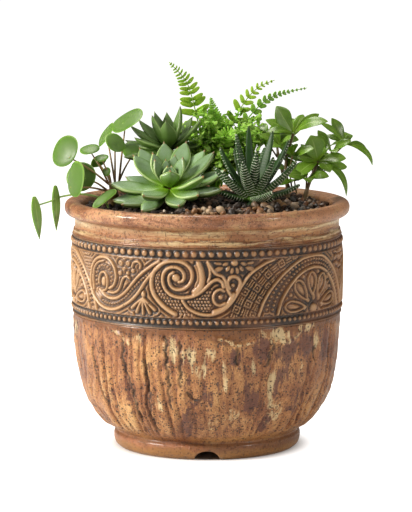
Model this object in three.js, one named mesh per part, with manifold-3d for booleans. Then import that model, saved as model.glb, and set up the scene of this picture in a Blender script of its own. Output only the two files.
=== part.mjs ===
// A stoneware planter with a beaded relief band, planted with a mixed group of succulents and small
// foliage plants: a large echeveria, a darker pointed rosette, a zebra haworthia, a pilea, a fern, a
// glossy-leaved shrub and a trailing vine, in potting soil with a gravel dressing.
// Millimetres, +Z up. The origin is on the ground under the middle of the foot ring, and -Y is the front.

import * as THREE from "three";
import { mergeVertices } from "three/addons/utils/BufferGeometryUtils.js";
import Module from "manifold-3d";

const wasm = await Module();
wasm.setup();

// ---------------------------------------------------------------- driving dimensions

const RIM_RADIUS = 120; // the pot is 240 mm across its rolled rim
const POT_HEIGHT = 208.5;
const BAND_RADIUS = 114; // the wall at the relief band
const MOUTH_RADIUS = 105; // inside the rim
const FOOT_RADIUS = 79;
const FOOT_RING_INNER_RADIUS = 62;
const FOOT_RECESS = 7; // how far the underside is raised inside the foot ring
const FLOOR_TOP = 17;
const DRAIN_RADIUS = 11;
const NOTCH_WIDTH = 21;
const NOTCH_HEIGHT = 8;
const NOTCH_COUNT = 3;
const ROUND = 36; // segments round the pot

const SOIL_EDGE_Z = 201.5;
const SOIL_CROWN_Z = 209;
const SOIL_MOUND_POWER = 2.2;
const GAP = 0.3; // left between touching pieces

const UP = new THREE.Vector3(0, 0, 1);

const COLOURS = {
  stoneware: 0xb07a4c,
  soil: 0x3a2618,
  gravel: 0xa98765,
  echeveria: 0x8fb77c,
  rearRosette: 0x55744c,
  haworthia: 0x38583a,
  pilea: 0x6f9f4c,
  petiole: 0x86682f,
  fern: 0x79b02d,
  shrub: 0x4f8a2b,
  bark: 0x6a4a30,
  vine: 0x8fae35,
};

// ---------------------------------------------------------------- solids and geometry

/** A closed geometry as a solid that can be cut and joined. */
function solidOf(geometry) {
  const bare = geometry.clone();
  bare.deleteAttribute("normal");
  bare.deleteAttribute("uv");
  const merged = mergeVertices(bare, 1e-3);
  const kept = [];
  const index = merged.index.array;
  for (let i = 0; i < index.length; i += 3) {
    const [a, b, c] = [index[i], index[i + 1], index[i + 2]];
    if (a !== b && b !== c && c !== a) kept.push(a, b, c);
  }
  const vertProperties = merged.attributes.position.array;
  return new wasm.Manifold(new wasm.Mesh({ numProp: 3, vertProperties, triVerts: new Uint32Array(kept) }));
}

/** A solid as a geometry for a mesh. */
function geometryOf(solid) {
  const { vertProperties, triVerts } = solid.getMesh();
  const geometry = new THREE.BufferGeometry();
  geometry.setAttribute("position", new THREE.BufferAttribute(new Float32Array(vertProperties), 3));
  geometry.setIndex(new THREE.BufferAttribute(new Uint32Array(triVerts), 1));
  geometry.computeVertexNormals();
  return geometry;
}

/** The one body of a solid that holds most of it. */
function largestBody(solid) {
  const bodies = solid.decompose();
  return bodies.reduce((most, body) => (body.volume() > most.volume() ? body : most));
}

/** Several solids joined into one. */
function joined(solids) {
  return solids.reduce((whole, solid) => whole.add(solid));
}

/** A solid turned about the Z axis from a profile of [radius, height] points. */
function lathed(profile) {
  const points = profile.map(([radius, height]) => new THREE.Vector2(radius, height));
  return solidOf(new THREE.LatheGeometry(points, ROUND).rotateX(Math.PI / 2));
}

/** The unit vector that points to a compass turn from +X and a rise above the horizon, in degrees. */
function heading(turn, rise) {
  const [t, r] = [THREE.MathUtils.degToRad(turn), THREE.MathUtils.degToRad(rise)];
  return new THREE.Vector3(Math.cos(r) * Math.cos(t), Math.cos(r) * Math.sin(t), Math.sin(r));
}

/** The part of a vector that stands square to a direction, as a unit vector. */
function squareTo(direction, vector) {
  return vector.clone().addScaledVector(direction, -vector.dot(direction)).normalize();
}

/** A round bar of even thickness along a smooth line through points. */
function bar(points, radius, grow = 0, steps = 6) {
  const sides = 6;
  const section = new THREE.Shape();
  for (let i = 0; i < sides; i++) {
    const angle = (2 * Math.PI * i) / sides;
    const [x, y] = [(radius + grow) * Math.cos(angle), (radius + grow) * Math.sin(angle)];
    if (i) section.lineTo(x, y);
    else section.moveTo(x, y);
  }
  section.closePath();
  const extrudePath = new THREE.CatmullRomCurve3(points.map((p) => new THREE.Vector3(...p)));
  return solidOf(new THREE.ExtrudeGeometry(section, { steps, bevelEnabled: false, extrudePath }));
}

/** A flattened ball: half sizes along X, Y and Z. */
function lump(centre, halfSizes, grow = 0, around = 6, along = 4) {
  const geometry = new THREE.SphereGeometry(1, around, along).rotateX(Math.PI / 2);
  geometry.scale(...halfSizes.map((half) => half + grow)).translate(...centre);
  return solidOf(geometry);
}

// ---------------------------------------------------------------- leaves

/** Half width of a leaf as a share of its widest, from 0 at the base to 1 at the tip. */
const OUTLINES = {
  spoon: (t) => (t < 0.66 ? 0.42 + 0.58 * Math.sin((t / 0.66) * (Math.PI / 2)) ** 1.3
    : Math.cos(((t - 0.66) / 0.34) * (Math.PI / 2)) ** 0.8),
  lance: (t) => 0.3 * (1 - t) ** 2 + Math.sin(Math.PI * Math.min(1, t ** 0.85)) ** 0.9,
  strap: (t) => (1 - t) ** 0.55 * (0.85 + 0.25 * t),
  obovate: (t) => 0.12 * (1 - t) + Math.sin(Math.PI * t ** 1.35) ** 0.85,
  round: (t) => Math.sqrt(Math.max(0, 4 * t * (1 - t))),
};

/**
 * A leaf blade: a ball drawn out along its midline to an outline, bowed and cupped.
 * turn and rise give the way from base to tip, and face is the side that its upper surface looks to.
 */
function blade(leaf, grow = 0) {
  const { base, turn, rise, length, width, thick, outline, face, bow = 0, cup = 0 } = leaf;
  const { around = 6, along = 5 } = leaf;
  const forward = heading(turn, rise);
  const upper = squareTo(forward, face);
  const side = new THREE.Vector3().crossVectors(forward, upper);
  const geometry = new THREE.SphereGeometry(1, around, along);
  const position = geometry.attributes.position;
  const point = new THREE.Vector3();
  for (let i = 0; i < position.count; i++) {
    point.fromBufferAttribute(position, i);
    const t = 1 - Math.acos(THREE.MathUtils.clamp(point.y, -1, 1)) / Math.PI;
    const ring = Math.hypot(point.x, point.z);
    const [across, through] = ring > 1e-6 ? [point.x / ring, point.z / ring] : [0, 0];
    const share = OUTLINES[outline](t);
    const halfWidth = share * (width / 2) + (ring > 1e-6 ? grow : 0);
    const halfThick = Math.sqrt(share) * (thick / 2) + (ring > 1e-6 ? grow : 0);
    const arch = bow * length * 4 * t * (1 - t);
    const lift = cup * width * share * across * across;
    const reach = (length + 2 * grow) * t - grow;
    point.set(...base)
      .addScaledVector(forward, reach)
      .addScaledVector(side, halfWidth * across)
      .addScaledVector(upper, halfThick * through + arch + lift);
    position.setXYZ(i, point.x, point.y, point.z);
  }
  return solidOf(geometry);
}

/** A fern frond: a bare stalk, then a toothed blade with pairs of leaflets, bent along its midrib. */
function frond({ path, face, reach, pairs, stalk = 0.35, thick = 1.4 }, grow = 0) {
  const midrib = new THREE.CatmullRomCurve3(path.map((p) => new THREE.Vector3(...p)));
  const length = midrib.getLength();
  const pitch = (length * (1 - stalk)) / (pairs + 0.6);
  const ribHalf = 1;
  const stations = [[-grow, ribHalf]]; // [distance along the midrib, half width]
  for (let i = 0; i < pairs; i++) {
    const start = length * stalk + pitch * i;
    const span = reach * Math.sin(Math.PI * (0.18 + (0.82 * (i + 0.5)) / pairs)) ** 0.8;
    stations.push([start, ribHalf], [start + pitch * 0.25, span]);
    stations.push([start + pitch * 0.6, span * 0.96], [start + pitch * 0.8, ribHalf]);
  }
  stations.push([length + grow, ribHalf]);
  const last = stations.length - 1;
  const geometry = new THREE.BoxGeometry(2, last, 1, 1, last, 1);
  const position = geometry.attributes.position;
  const point = new THREE.Vector3();
  for (let i = 0; i < position.count; i++) {
    const [along, half] = stations[Math.round(position.getY(i) + last / 2)];
    const at = THREE.MathUtils.clamp(along / length, 0, 1);
    const tangent = midrib.getTangentAt(at);
    const upper = squareTo(tangent, face);
    const side = new THREE.Vector3().crossVectors(tangent, upper);
    midrib.getPointAt(at, point);
    point.addScaledVector(tangent, along - at * length)
      .addScaledVector(side, position.getX(i) * (half + grow))
      .addScaledVector(upper, position.getZ(i) * (thick + 2 * grow));
    position.setXYZ(i, point.x, point.y, point.z);
  }
  return solidOf(geometry);
}

// ---------------------------------------------------------------- placing pieces without overlap

const group = new THREE.Group();
const taken = []; // every placed solid with the gap added round it

function boxesMeet(a, b) {
  return [0, 1, 2].every((i) => a.min[i] <= b.max[i] && b.min[i] <= a.max[i]);
}

/** Adds a mesh for a solid. */
function addMesh(name, colour, solid, roughness = 0.6) {
  const material = new THREE.MeshStandardMaterial({ color: colour, roughness, metalness: 0 });
  const mesh = new THREE.Mesh(geometryOf(solid), material);
  mesh.name = name;
  group.add(mesh);
}

/** Places a piece, given as a function of how much it is grown, clear of all that was placed before. */
function place(name, colour, make, roughness) {
  let solid = make(0);
  const box = solid.boundingBox();
  for (const earlier of taken) {
    if (boxesMeet(box, earlier.box)) solid = solid.subtract(earlier.solid);
  }
  const grown = make(GAP);
  taken.push({ solid: grown, box: grown.boundingBox() });
  addMesh(name, colour, largestBody(solid), roughness);
}

const numbered = (stem, i) => `${stem}_${String(i + 1).padStart(2, "0")}`;

// ---------------------------------------------------------------- pot

/** The pot's wall: up the outside from the foot, over the rolled rim and down the inside. */
function potProfile() {
  const outside = [
    [FOOT_RADIUS - 4.5, 0], [FOOT_RADIUS - 1, 3.5], [FOOT_RADIUS, 8], [FOOT_RADIUS - 0.5, 12],
    [FOOT_RADIUS - 2.5, 14], [80, 17], [88.4, 22], [96, 31.5], [104.6, 46], [109.6, 66], [112.6, 100],
    [BAND_RADIUS, 119], [BAND_RADIUS, 150], [BAND_RADIUS + 0.3, 177], [112.6, 183], [111.2, 190],
    [112.5, 194.5],
  ];
  const rim = [[118, 197.5], [RIM_RADIUS, 202], [118.6, 206.5], [113.5, POT_HEIGHT], [108, 207.3]];
  const inside = [
    [MOUTH_RADIUS, 203], [MOUTH_RADIUS, 120], [101.5, 75], [93, 44], [79, 26], [64, FLOOR_TOP],
    [DRAIN_RADIUS, FLOOR_TOP], [DRAIN_RADIUS, FOOT_RECESS],
    [FOOT_RING_INNER_RADIUS, FOOT_RECESS], [FOOT_RING_INNER_RADIUS + 3, 0],
  ];
  const all = [...outside, ...rim, ...inside];
  return [...all, all[0]];
}

/** A drainage notch: an arched bar that runs in from outside the foot ring. */
function drainNotch(turn) {
  const [inner, outer] = [FOOT_RING_INNER_RADIUS - 6, FOOT_RADIUS + 8];
  const arch = new THREE.Shape();
  arch.absellipse(0, 0, NOTCH_WIDTH / 2, NOTCH_HEIGHT, 0, 2 * Math.PI);
  const curveSegments = 8;
  const depth = outer - inner;
  const geometry = new THREE.ExtrudeGeometry(arch, { depth, bevelEnabled: false, curveSegments });
  geometry.rotateX(Math.PI / 2).translate(0, -inner, 0).rotateZ(turn);
  return solidOf(geometry);
}

function pot() {
  let solid = lathed(potProfile());
  for (let i = 0; i < NOTCH_COUNT; i++) {
    solid = solid.subtract(drainNotch((2 * Math.PI * i) / NOTCH_COUNT));
  }
  return solid;
}

// ---------------------------------------------------------------- soil and gravel

const soilTop = (radius) => SOIL_CROWN_Z
  - (SOIL_CROWN_Z - SOIL_EDGE_Z) * (radius / MOUTH_RADIUS) ** SOIL_MOUND_POWER;

/** The soil that fills the pot, with a mounded top. */
function soil(raise = 0) {
  const wall = [[62, FLOOR_TOP], [78.6, 26.6], [92.6, 44.6], [101.1, 75.3], [MOUTH_RADIUS - 0.4, 120]];
  const side = wall.map(([radius, height]) => [radius - GAP, height + GAP]);
  const top = [MOUTH_RADIUS - 0.8, 92, 76, 56, 30].map((radius) => [radius, soilTop(radius) + raise]);
  return lathed([[0, FLOOR_TOP + GAP], ...side, ...top, [0, SOIL_CROWN_Z + raise]]);
}

// Pebbles of the dressing at the front and right: [turn round the pot, radius, half size]
const PEBBLES = [
  [-93, 88, 3.2], [-88, 94, 2.6], [-81, 93, 3.2], [-75, 87, 3.6], [-69, 94, 3], [-63, 88, 3.2],
  [-56, 93, 4.2], [-50, 87, 3], [-45, 94, 3.2], [-39, 88, 3.4], [-33, 94, 3.6], [-25, 90, 3.4],
  [-18, 95, 2.8], [-84, 80, 2.8], [-67, 79, 3], [-45, 79, 2.8], [-31, 81, 3], [-99, 94, 2.4],
];

/** The gravel dressing: a thin bed on the soil that holds its pebbles. */
function gravel(grow = 0) {
  const footprint = new THREE.Shape();
  footprint.absarc(0, 0, 98, THREE.MathUtils.degToRad(-104), THREE.MathUtils.degToRad(-12), false);
  footprint.absarc(0, 0, 74, THREE.MathUtils.degToRad(-12), THREE.MathUtils.degToRad(-104), true);
  footprint.closePath();
  const column = new THREE.ExtrudeGeometry(footprint, { depth: 60, bevelEnabled: false, curveSegments: 7 });
  const bedThickness = 1.4;
  const bed = solidOf(column.translate(0, 0, 180)).intersect(soil(GAP + bedThickness + grow));
  const stones = PEBBLES.map(([turn, radius, half], i) => {
    const centre = heading(turn, 0).multiplyScalar(radius).setZ(soilTop(radius) + half * 0.55);
    const stone = new THREE.IcosahedronGeometry(half + grow, 0).rotateX(i).rotateZ(2.3 * i);
    return solidOf(stone.scale(1.15, 1, 0.8).translate(...centre));
  });
  return joined([bed, ...stones]).subtract(soil(GAP - grow));
}

// ---------------------------------------------------------------- echeveria, at the front left

const ECHEVERIA = { crown: [-31, -41, 221], face: new THREE.Vector3(0, -0.375, 0.927), girth: 4 };

// [turn, rise, length, width], the inner leaves first
const ECHEVERIA_LEAVES = [
  [57, 56, 45, 17], [101, 54, 45, 17], [28, 42, 45, 16], [146, 35, 45, 17], [132, 38, 49, 18],
  [6, 38, 48, 16], [80, 40, 47, 18], [-40, 19, 39, 15], [153, 11, 42, 16], [178, 5, 50, 18],
  [0, 17, 49, 16], [48, 33, 47, 18], [112, 33, 48, 18], [-119, -2, 44, 16], [-55, -3, 42, 16],
  [-18, 0, 46, 16], [-170, -12, 49, 16], [-148, -14, 47, 16], [-79, -12, 45, 17], [-124, -20, 43, 15],
];

// The small upright leaves at the heart: [turn, rise, length, width]
const ECHEVERIA_HEART = [
  [-87, 52, 21, 17], [165, 63, 33, 14], [-163, 61, 28, 12], [-11, 66, 29, 13], [60, 72, 29, 13],
  [120, 74, 25, 11], [-60, 80, 20, 10], [-120, 78, 20, 10],
];

function succulentLeaf(plant, [turn, rise, length, width], thick, outline) {
  const out = heading(turn, rise).multiplyScalar(plant.girth);
  const base = plant.crown.map((value, i) => value + out.getComponent(i));
  return { base, turn, rise, length: length - plant.girth, width, thick, outline, face: plant.face };
}

function placeEcheveria() {
  const [x, y, z] = ECHEVERIA.crown;
  place("echeveria_stem", COLOURS.echeveria, (g) => bar([[x, y + 6, 198], [x, y + 4, 210], [x, y, z]], 4.5, g, 4));
  place("echeveria_heart", COLOURS.echeveria, (g) => joined(ECHEVERIA_HEART.map((row) => (
    blade({ ...succulentLeaf(ECHEVERIA, row, 5, "spoon"), bow: -0.1, cup: 0.12 }, g)))));
  ECHEVERIA_LEAVES.forEach((row, i) => {
    const leaf = { ...succulentLeaf(ECHEVERIA, row, 5.5, "spoon"), bow: -0.07, cup: 0.12 };
    place(numbered("echeveria_leaf", i), COLOURS.echeveria, (g) => blade(leaf, g));
  });
}

// ---------------------------------------------------------------- dark pointed rosette behind it

const REAR_ROSETTE = { crown: [-31, 8, 249], face: new THREE.Vector3(-0.05, -0.15, 0.99), girth: 4.2 };

const REAR_ROSETTE_LEAVES = [
  [173, 31, 39, 12], [152, 39, 39, 12], [-158, 20, 34, 12], [-146, 59, 35, 12], [143, 62, 36, 11],
  [101, 62, 35, 12], [-102, 58, 31, 14], [-14, 77, 38, 12], [-5, 45, 36, 12], [160, 10, 41, 14],
  [-168, -7, 40, 15], [40, 48, 36, 13], [72, 24, 37, 14], [115, 22, 38, 14], [22, 12, 36, 14],
];

function rearRosette(grow) {
  const [x, y, z] = REAR_ROSETTE.crown;
  const stem = bar([[x - 2, y + 4, 198], [x - 1, y + 2, 225], [x, y, z]], 4, grow, 4);
  const core = lump([x, y, z], [5, 5, 5], grow);
  return joined([stem, core, ...REAR_ROSETTE_LEAVES.map((row) => (
    blade({ ...succulentLeaf(REAR_ROSETTE, row, 4.5, "lance"), bow: -0.06, cup: 0.12 }, grow)))]);
}

// ---------------------------------------------------------------- haworthia, at the front right

const HAWORTHIA = { crown: [37, -48, 213], face: new THREE.Vector3(0, -0.1, 0.99), girth: 4 };

const HAWORTHIA_LEAVES = [
  [-78, 70, 45, 11], [100, 76, 62, 9], [137, 72, 57, 10], [45, 66, 61, 11], [8, 58, 58, 10],
  [166, 58, 51, 9], [-13, 42, 50, 11], [-148, 42, 38, 10], [-62, 16, 36, 12], [8, 17, 42, 10],
];

function placeHaworthia() {
  const [x, y, z] = HAWORTHIA.crown;
  place("haworthia_crown", COLOURS.haworthia, (g) => lump([x, y, z - 7], [5, 5, 7], g));
  HAWORTHIA_LEAVES.forEach((row, i) => {
    const leaf = { ...succulentLeaf(HAWORTHIA, row, 4.5, "strap"), bow: -0.05, cup: 0.1 };
    place(numbered("haworthia_leaf", i), COLOURS.haworthia, (g) => blade(leaf, g));
  });
}

// ---------------------------------------------------------------- pilea, at the left

const PILEA_CROWN = [-79, -16, 214];

// Round leaves on stalks: centre, the way the upper face looks, radius, and where the stalk starts
const PILEA_LEAVES = [
  { centre: [-117, -25, 251], looks: [-0.55, -0.62, 0.56], radius: 15.5, foot: [-81, -17, 222] },
  { centre: [-108, -42, 230], looks: [-0.8, -0.58, 0.15], radius: 15.5, foot: [-82, -20, 217] },
  { centre: [-103, -27, 230], looks: [-0.5, -0.8, 0.33], radius: 14, foot: [-84, -16, 218] },
  { centre: [-66, 2, 276], looks: [-0.3, -0.38, 0.87], radius: 15.5, foot: [-74, -10, 222] },
  { centre: [-84, 12, 264], looks: [-0.85, -0.28, 0.44], radius: 13, foot: [-77, -10, 222] },
  { centre: [-96, 4, 252], looks: [-0.1, -0.35, 0.93], radius: 9, foot: [-82, -12, 222] },
  { centre: [-75, -18, 257], looks: [0.62, -0.5, 0.6], radius: 11, foot: [-77, -16, 224] },
  { centre: [-85, -50, 215], looks: [0.5, -0.66, 0.56], radius: 11, foot: [-80, -24, 216] },
];

/** A round leaf on its stalk, which meets the blade near its middle. */
function pileaLeaf({ centre, looks, radius, foot }, grow) {
  const face = new THREE.Vector3(...looks).normalize();
  const forward = squareTo(face, UP);
  const turn = THREE.MathUtils.radToDeg(Math.atan2(forward.y, forward.x));
  const rise = THREE.MathUtils.radToDeg(Math.asin(forward.z));
  const base = new THREE.Vector3(...centre).addScaledVector(forward, -radius);
  const disc = blade({
    base: base.toArray(), turn, rise, length: 2 * radius, width: 2 * radius, thick: 1.6,
    outline: "round", face, around: 8, along: 6, cup: -0.06,
  }, grow);
  const behind = new THREE.Vector3(...centre).addScaledVector(face, -4);
  const middle = new THREE.Vector3(...foot).lerp(behind, 0.5).add(new THREE.Vector3(0, 0, 2));
  const stalk = bar([foot, middle.toArray(), behind.toArray(), centre], 0.9, grow, 4);
  return disc.add(stalk);
}

function placePilea() {
  place("pilea_crown", COLOURS.petiole, (g) => lump(PILEA_CROWN, [5, 5, 8], g));
  PILEA_LEAVES.forEach((leaf, i) => {
    place(numbered("pilea_leaf", i), COLOURS.pilea, (g) => pileaLeaf(leaf, g));
  });
}

// ---------------------------------------------------------------- fern, behind the middle

const FERN_CROWN = [6, 34, 211];

const FERN_FRONDS = [
  { path: [[3, 36, 216], [-6, 40, 262], [-14, 32, 296], [-20, 26, 309], [-32, 14, 323]], reach: 12, pairs: 8 },
  { path: [[9, 37, 216], [18, 42, 258], [31, 45, 285], [44, 49, 299], [58, 53, 305]], reach: 10, pairs: 7 },
  { path: [[12, 39, 215], [26, 50, 258], [47, 62, 284], [65, 74, 292], [87, 84, 296]], reach: 8, pairs: 7 },
  { path: [[4, 33, 215], [6, 30, 256], [8, 22, 280], [13, 12, 290], [20, 2, 288]], reach: 12, pairs: 6 },
  { path: [[7, 30, 215], [12, 14, 248], [16, 2, 262], [20, -10, 266], [24, -20, 260]], reach: 14, pairs: 5 },
  { path: [[3, 41, 215], [-14, 62, 250], [-26, 76, 264], [-36, 88, 262], [-44, 98, 250]], reach: 14, pairs: 6 },
  { path: [[9, 43, 215], [16, 66, 246], [22, 82, 256], [28, 94, 250], [32, 103, 238]], reach: 12, pairs: 5 },
];

function placeFern() {
  const [x, y, z] = FERN_CROWN;
  place("fern_crown", COLOURS.fern, (g) => lump([x, y, z - 3], [8, 7, 7], g));
  const face = new THREE.Vector3(0.1, -0.8, 0.6).normalize();
  FERN_FRONDS.forEach((leaf, i) => {
    place(numbered("fern_frond", i), COLOURS.fern, (g) => frond({ ...leaf, face }, g));
  });
}

// ---------------------------------------------------------------- glossy-leaved shrub, at the right

const SHRUB_STEMS = [
  [[70, 16, 197], [67, 17, 236], [73, 20, 262]],
  [[80, 10, 197], [88, 14, 224], [101, 28, 237], [118, 44, 251]],
  [[88, 14, 224], [91, 12, 232], [94, 12, 239]],
  [[70, 16, 214], [62, 34, 236], [60, 48, 250]],
];

const NODE_RADIUS = 3; // the knob on a stem where a whorl of leaves starts
const SHRUB_LEAF_FACE = new THREE.Vector3(0, -0.6, 0.8); // the leaves tip their faces a little to the front

// Each cluster has the point where its leaves start, and rows of [turn, rise, length, width, bow]
const SHRUB_CLUSTERS = {
  shrub_leaves_top: {
    node: [73, 20, 262],
    leaves: [
      [-160, 58, 28, 15, -0.04], [20, 36, 29, 9, 0.04], [165, 26, 27, 8, 0.04], [-20, 20, 33, 13, 0.14],
      [60, 40, 24, 9, 0.03], [-165, 6, 24, 9, 0.1], [175, -12, 26, 10, 0.12], [100, 25, 28, 12, 0.08],
    ],
  },
  shrub_leaves_right: {
    node: [118, 44, 251],
    leaves: [
      [170, 63, 25, 10, 0.06], [30, 55, 9, 6, 0], [20, -15, 22, 10, 0.1], [15, -36, 32, 7, 0.22],
      [160, 24, 18, 6, 0.05], [-165, 40, 30, 6, 0.1], [80, 20, 22, 9, 0.1], [130, -12, 22, 9, 0.1],
    ],
  },
  shrub_leaves_middle: {
    node: [94, 12, 239],
    leaves: [
      [-130, 66, 25, 18, 0.03], [-10, 8, 24, 12, 0.08], [12, -14, 21, 9, 0.1], [-50, -27, 17, 12, 0.15],
      [-160, 12, 20, 11, 0.1], [-150, -27, 24, 13, 0.12], [-8, -50, 38, 8, 0.28], [150, 40, 22, 8, 0.03],
      [100, 20, 26, 12, 0.12], [60, 46, 22, 9, 0.05],
    ],
  },
  shrub_leaves_back: {
    node: [60, 48, 250],
    leaves: [
      [90, 30, 28, 13, 0.15], [150, 28, 28, 12, 0.12], [30, 34, 28, 12, 0.12], [120, -8, 28, 12, 0.15],
      [60, -6, 28, 12, 0.15], [-10, 60, 24, 11, 0.05], [-150, 12, 24, 11, 0.1], [-40, 14, 24, 11, 0.1],
    ],
  },
};

function shrubCluster({ node, leaves }, grow) {
  const blades = leaves.map(([turn, rise, length, width, bow]) => {
    const base = new THREE.Vector3(...node).addScaledVector(heading(turn, rise), NODE_RADIUS - 0.8).toArray();
    const shape = { length: length - NODE_RADIUS, width, bow, thick: 1.6, outline: "obovate" };
    return blade({ ...shape, base, turn, rise, face: SHRUB_LEAF_FACE }, grow);
  });
  return joined([lump(node, [NODE_RADIUS, NODE_RADIUS, NODE_RADIUS], grow), ...blades]);
}

function placeShrub() {
  place("shrub_stems", COLOURS.bark, (g) => joined(SHRUB_STEMS.map((line) => bar(line, 1.8, g, 4))));
  Object.entries(SHRUB_CLUSTERS).forEach(([name, cluster]) => {
    place(name, COLOURS.shrub, (g) => shrubCluster(cluster, g));
  });
}

// ---------------------------------------------------------------- vine over the left rim

const VINE = {
  runner: [
    [-80, -35, 200], [-84, -34, 209], [-92, -32, 214], [-106, -30, 216], [-122, -34, 214], [-130, -39, 211],
    [-137, -44, 208],
  ],
  leaves: [
    { base: [-143, -46, 216], turn: 20, rise: -83, length: 37, width: 8 },
    { base: [-126, -35, 224], turn: -20, rise: -89, length: 39, width: 7 },
  ],
};

function vine(grow) {
  const face = new THREE.Vector3(0.3, -0.95, 0.1).normalize();
  const blades = VINE.leaves.map((leaf) => blade({ ...leaf, thick: 2.4, outline: "lance", face }, grow));
  return joined([bar(VINE.runner, 0.9, grow, 8), ...blades]);
}

// ---------------------------------------------------------------- the planted pot

addMesh("pot", COLOURS.stoneware, pot(), 0.55);
placeEcheveria();
placeHaworthia();
placeShrub();
placePilea();
place("rear_rosette", COLOURS.rearRosette, rearRosette);
placeFern();
place("trailing_vine", COLOURS.vine, vine);
place("gravel_dressing", COLOURS.gravel, gravel, 0.8);

// The soil holds the stems and crowns, so it is cut last, round all of them.
let bed = soil();
for (const earlier of taken.slice(0, -1)) bed = bed.subtract(earlier.solid);
addMesh("potting_soil", COLOURS.soil, largestBody(bed), 0.95);

export default group;
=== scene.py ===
"""The finished look of a planted stoneware bowl.

A round stoneware planter with a carved relief band holds a large echeveria, a darker pointed rosette, a
zebra haworthia, a pilea, a fern, a glossy-leaved shrub and a trailing vine, in soil with a gravel dressing.

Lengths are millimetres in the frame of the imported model: +Z up, -Y to the front, and the origin on the
ground under the middle of the foot ring. They are scaled to metres where a mesh is made. Only the heights in
the finishes and the studio are in metres.
"""

import logging
import math
from dataclasses import dataclass, field
from enum import Enum
from typing import Sequence, Union

import bpy
import numpy as np
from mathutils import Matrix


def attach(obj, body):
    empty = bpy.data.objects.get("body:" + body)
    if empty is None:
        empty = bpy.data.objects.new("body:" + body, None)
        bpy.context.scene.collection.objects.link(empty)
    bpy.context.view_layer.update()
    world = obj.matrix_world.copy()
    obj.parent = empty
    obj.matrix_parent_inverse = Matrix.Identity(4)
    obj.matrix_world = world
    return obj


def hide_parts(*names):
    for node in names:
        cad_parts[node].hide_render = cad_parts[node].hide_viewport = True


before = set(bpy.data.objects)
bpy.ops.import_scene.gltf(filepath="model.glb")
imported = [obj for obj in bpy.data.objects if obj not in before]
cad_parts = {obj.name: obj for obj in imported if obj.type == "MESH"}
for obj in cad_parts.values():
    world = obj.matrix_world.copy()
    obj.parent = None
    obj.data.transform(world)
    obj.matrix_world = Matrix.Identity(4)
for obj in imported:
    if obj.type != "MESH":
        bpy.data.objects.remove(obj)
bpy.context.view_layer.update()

LOG = logging.getLogger("planted_bowl")
MM = 0.001
FULL_TURN = 2 * math.pi
FAR = 1e9
BLACK = (0.0, 0.0, 0.0)

Array = np.ndarray
Rng = np.random.Generator
Colour = tuple[float, float, float]
Point = tuple[float, float, float]
Line = Sequence[tuple[float, float]]
Socket = bpy.types.NodeSocket
Node = bpy.types.Node
NodeTree = bpy.types.NodeTree
Material = bpy.types.Material


# ================================================================ meshes


@dataclass
class Shell:
    """Points, faces and named point values of a closed mesh. A triangle's last number is -1."""

    points: Array
    faces: Array
    values: dict[str, Array] = field(default_factory=dict)

    def outward(self) -> "Shell":
        """Turn the faces round where they look inwards, and give this shell.

        Returns:
            This shell.
        """
        a, b, c = (self.points[self.faces[:, k]] for k in range(3))
        d = np.where(self.faces[:, 3:] < 0, a, self.points[self.faces[:, 3]])
        volume = np.einsum("ij,ij->", a, np.cross(b, c)) + np.einsum("ij,ij->", a, np.cross(c, d))
        if volume < 0:
            triangle = self.faces[:, 3] < 0
            self.faces = self.faces[:, [0, 3, 2, 1]]
            self.faces[triangle] = self.faces[triangle][:, [0, 2, 3, 1]]
        return self


def merged(shells: Sequence[Shell]) -> Shell:
    """Join shells into one, without welding them. A value that a shell lacks is zero there.

    Args:
        shells: What to join.

    Returns:
        One shell.
    """
    names = sorted({name for shell in shells for name in shell.values})
    starts = np.cumsum([0] + [len(shell.points) for shell in shells])
    faces = [np.where(shell.faces < 0, -1, shell.faces + start) for shell, start in zip(shells, starts)]
    values = {
        name: np.concatenate([shell.values.get(name, np.zeros(len(shell.points))) for shell in shells])
        for name in names
    }
    return Shell(np.concatenate([shell.points for shell in shells]), np.concatenate(faces), values)


def tube_shell(rings: Array, start: Array, end: Array, values: dict[str, tuple]) -> Shell:
    """Close a run of rings with a point at each end.

    Args:
        rings: Points of shape (rows, sides, 3).
        start: The point before the first ring.
        end: The point after the last ring.
        values: For each name, an array of shape (rows, sides), and the values at start and at end.

    Returns:
        A closed shell.
    """
    rows, sides = rings.shape[:2]
    grid = np.arange(rows * sides).reshape(rows, sides)
    following = np.roll(grid, -1, axis=1)
    quads = np.stack([grid[:-1], grid[1:], following[1:], following[:-1]], axis=-1).reshape(-1, 4)
    none = np.full(sides, -1)
    first = np.stack([grid[0], following[0], np.full(sides, rows * sides), none], axis=-1)
    last = np.stack([following[-1], grid[-1], np.full(sides, rows * sides + 1), none], axis=-1)
    points = np.concatenate([rings.reshape(-1, 3), [start], [end]])
    flat = {}
    for name, (array, low, high) in values.items():
        flat[name] = np.concatenate([array.ravel(), [low, high]])
    return Shell(points, np.concatenate([quads, first, last]), flat).outward()


def loop_shell(rings: Array, values: dict[str, Array]) -> Shell:
    """Make a ring-shaped shell from rings whose last joins the first.

    Args:
        rings: Points of shape (rows, sides, 3).
        values: Arrays of shape (rows, sides) by name.

    Returns:
        A closed shell.
    """
    rows, sides = rings.shape[:2]
    grid = np.arange(rows * sides).reshape(rows, sides)
    after = np.roll(grid, -1, axis=0)
    quads = np.stack([grid, after, np.roll(after, -1, axis=1), np.roll(grid, -1, axis=1)], axis=-1)
    flat = {name: array.ravel() for name, array in values.items()}
    return Shell(rings.reshape(-1, 3), quads.reshape(-1, 4), flat).outward()


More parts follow.
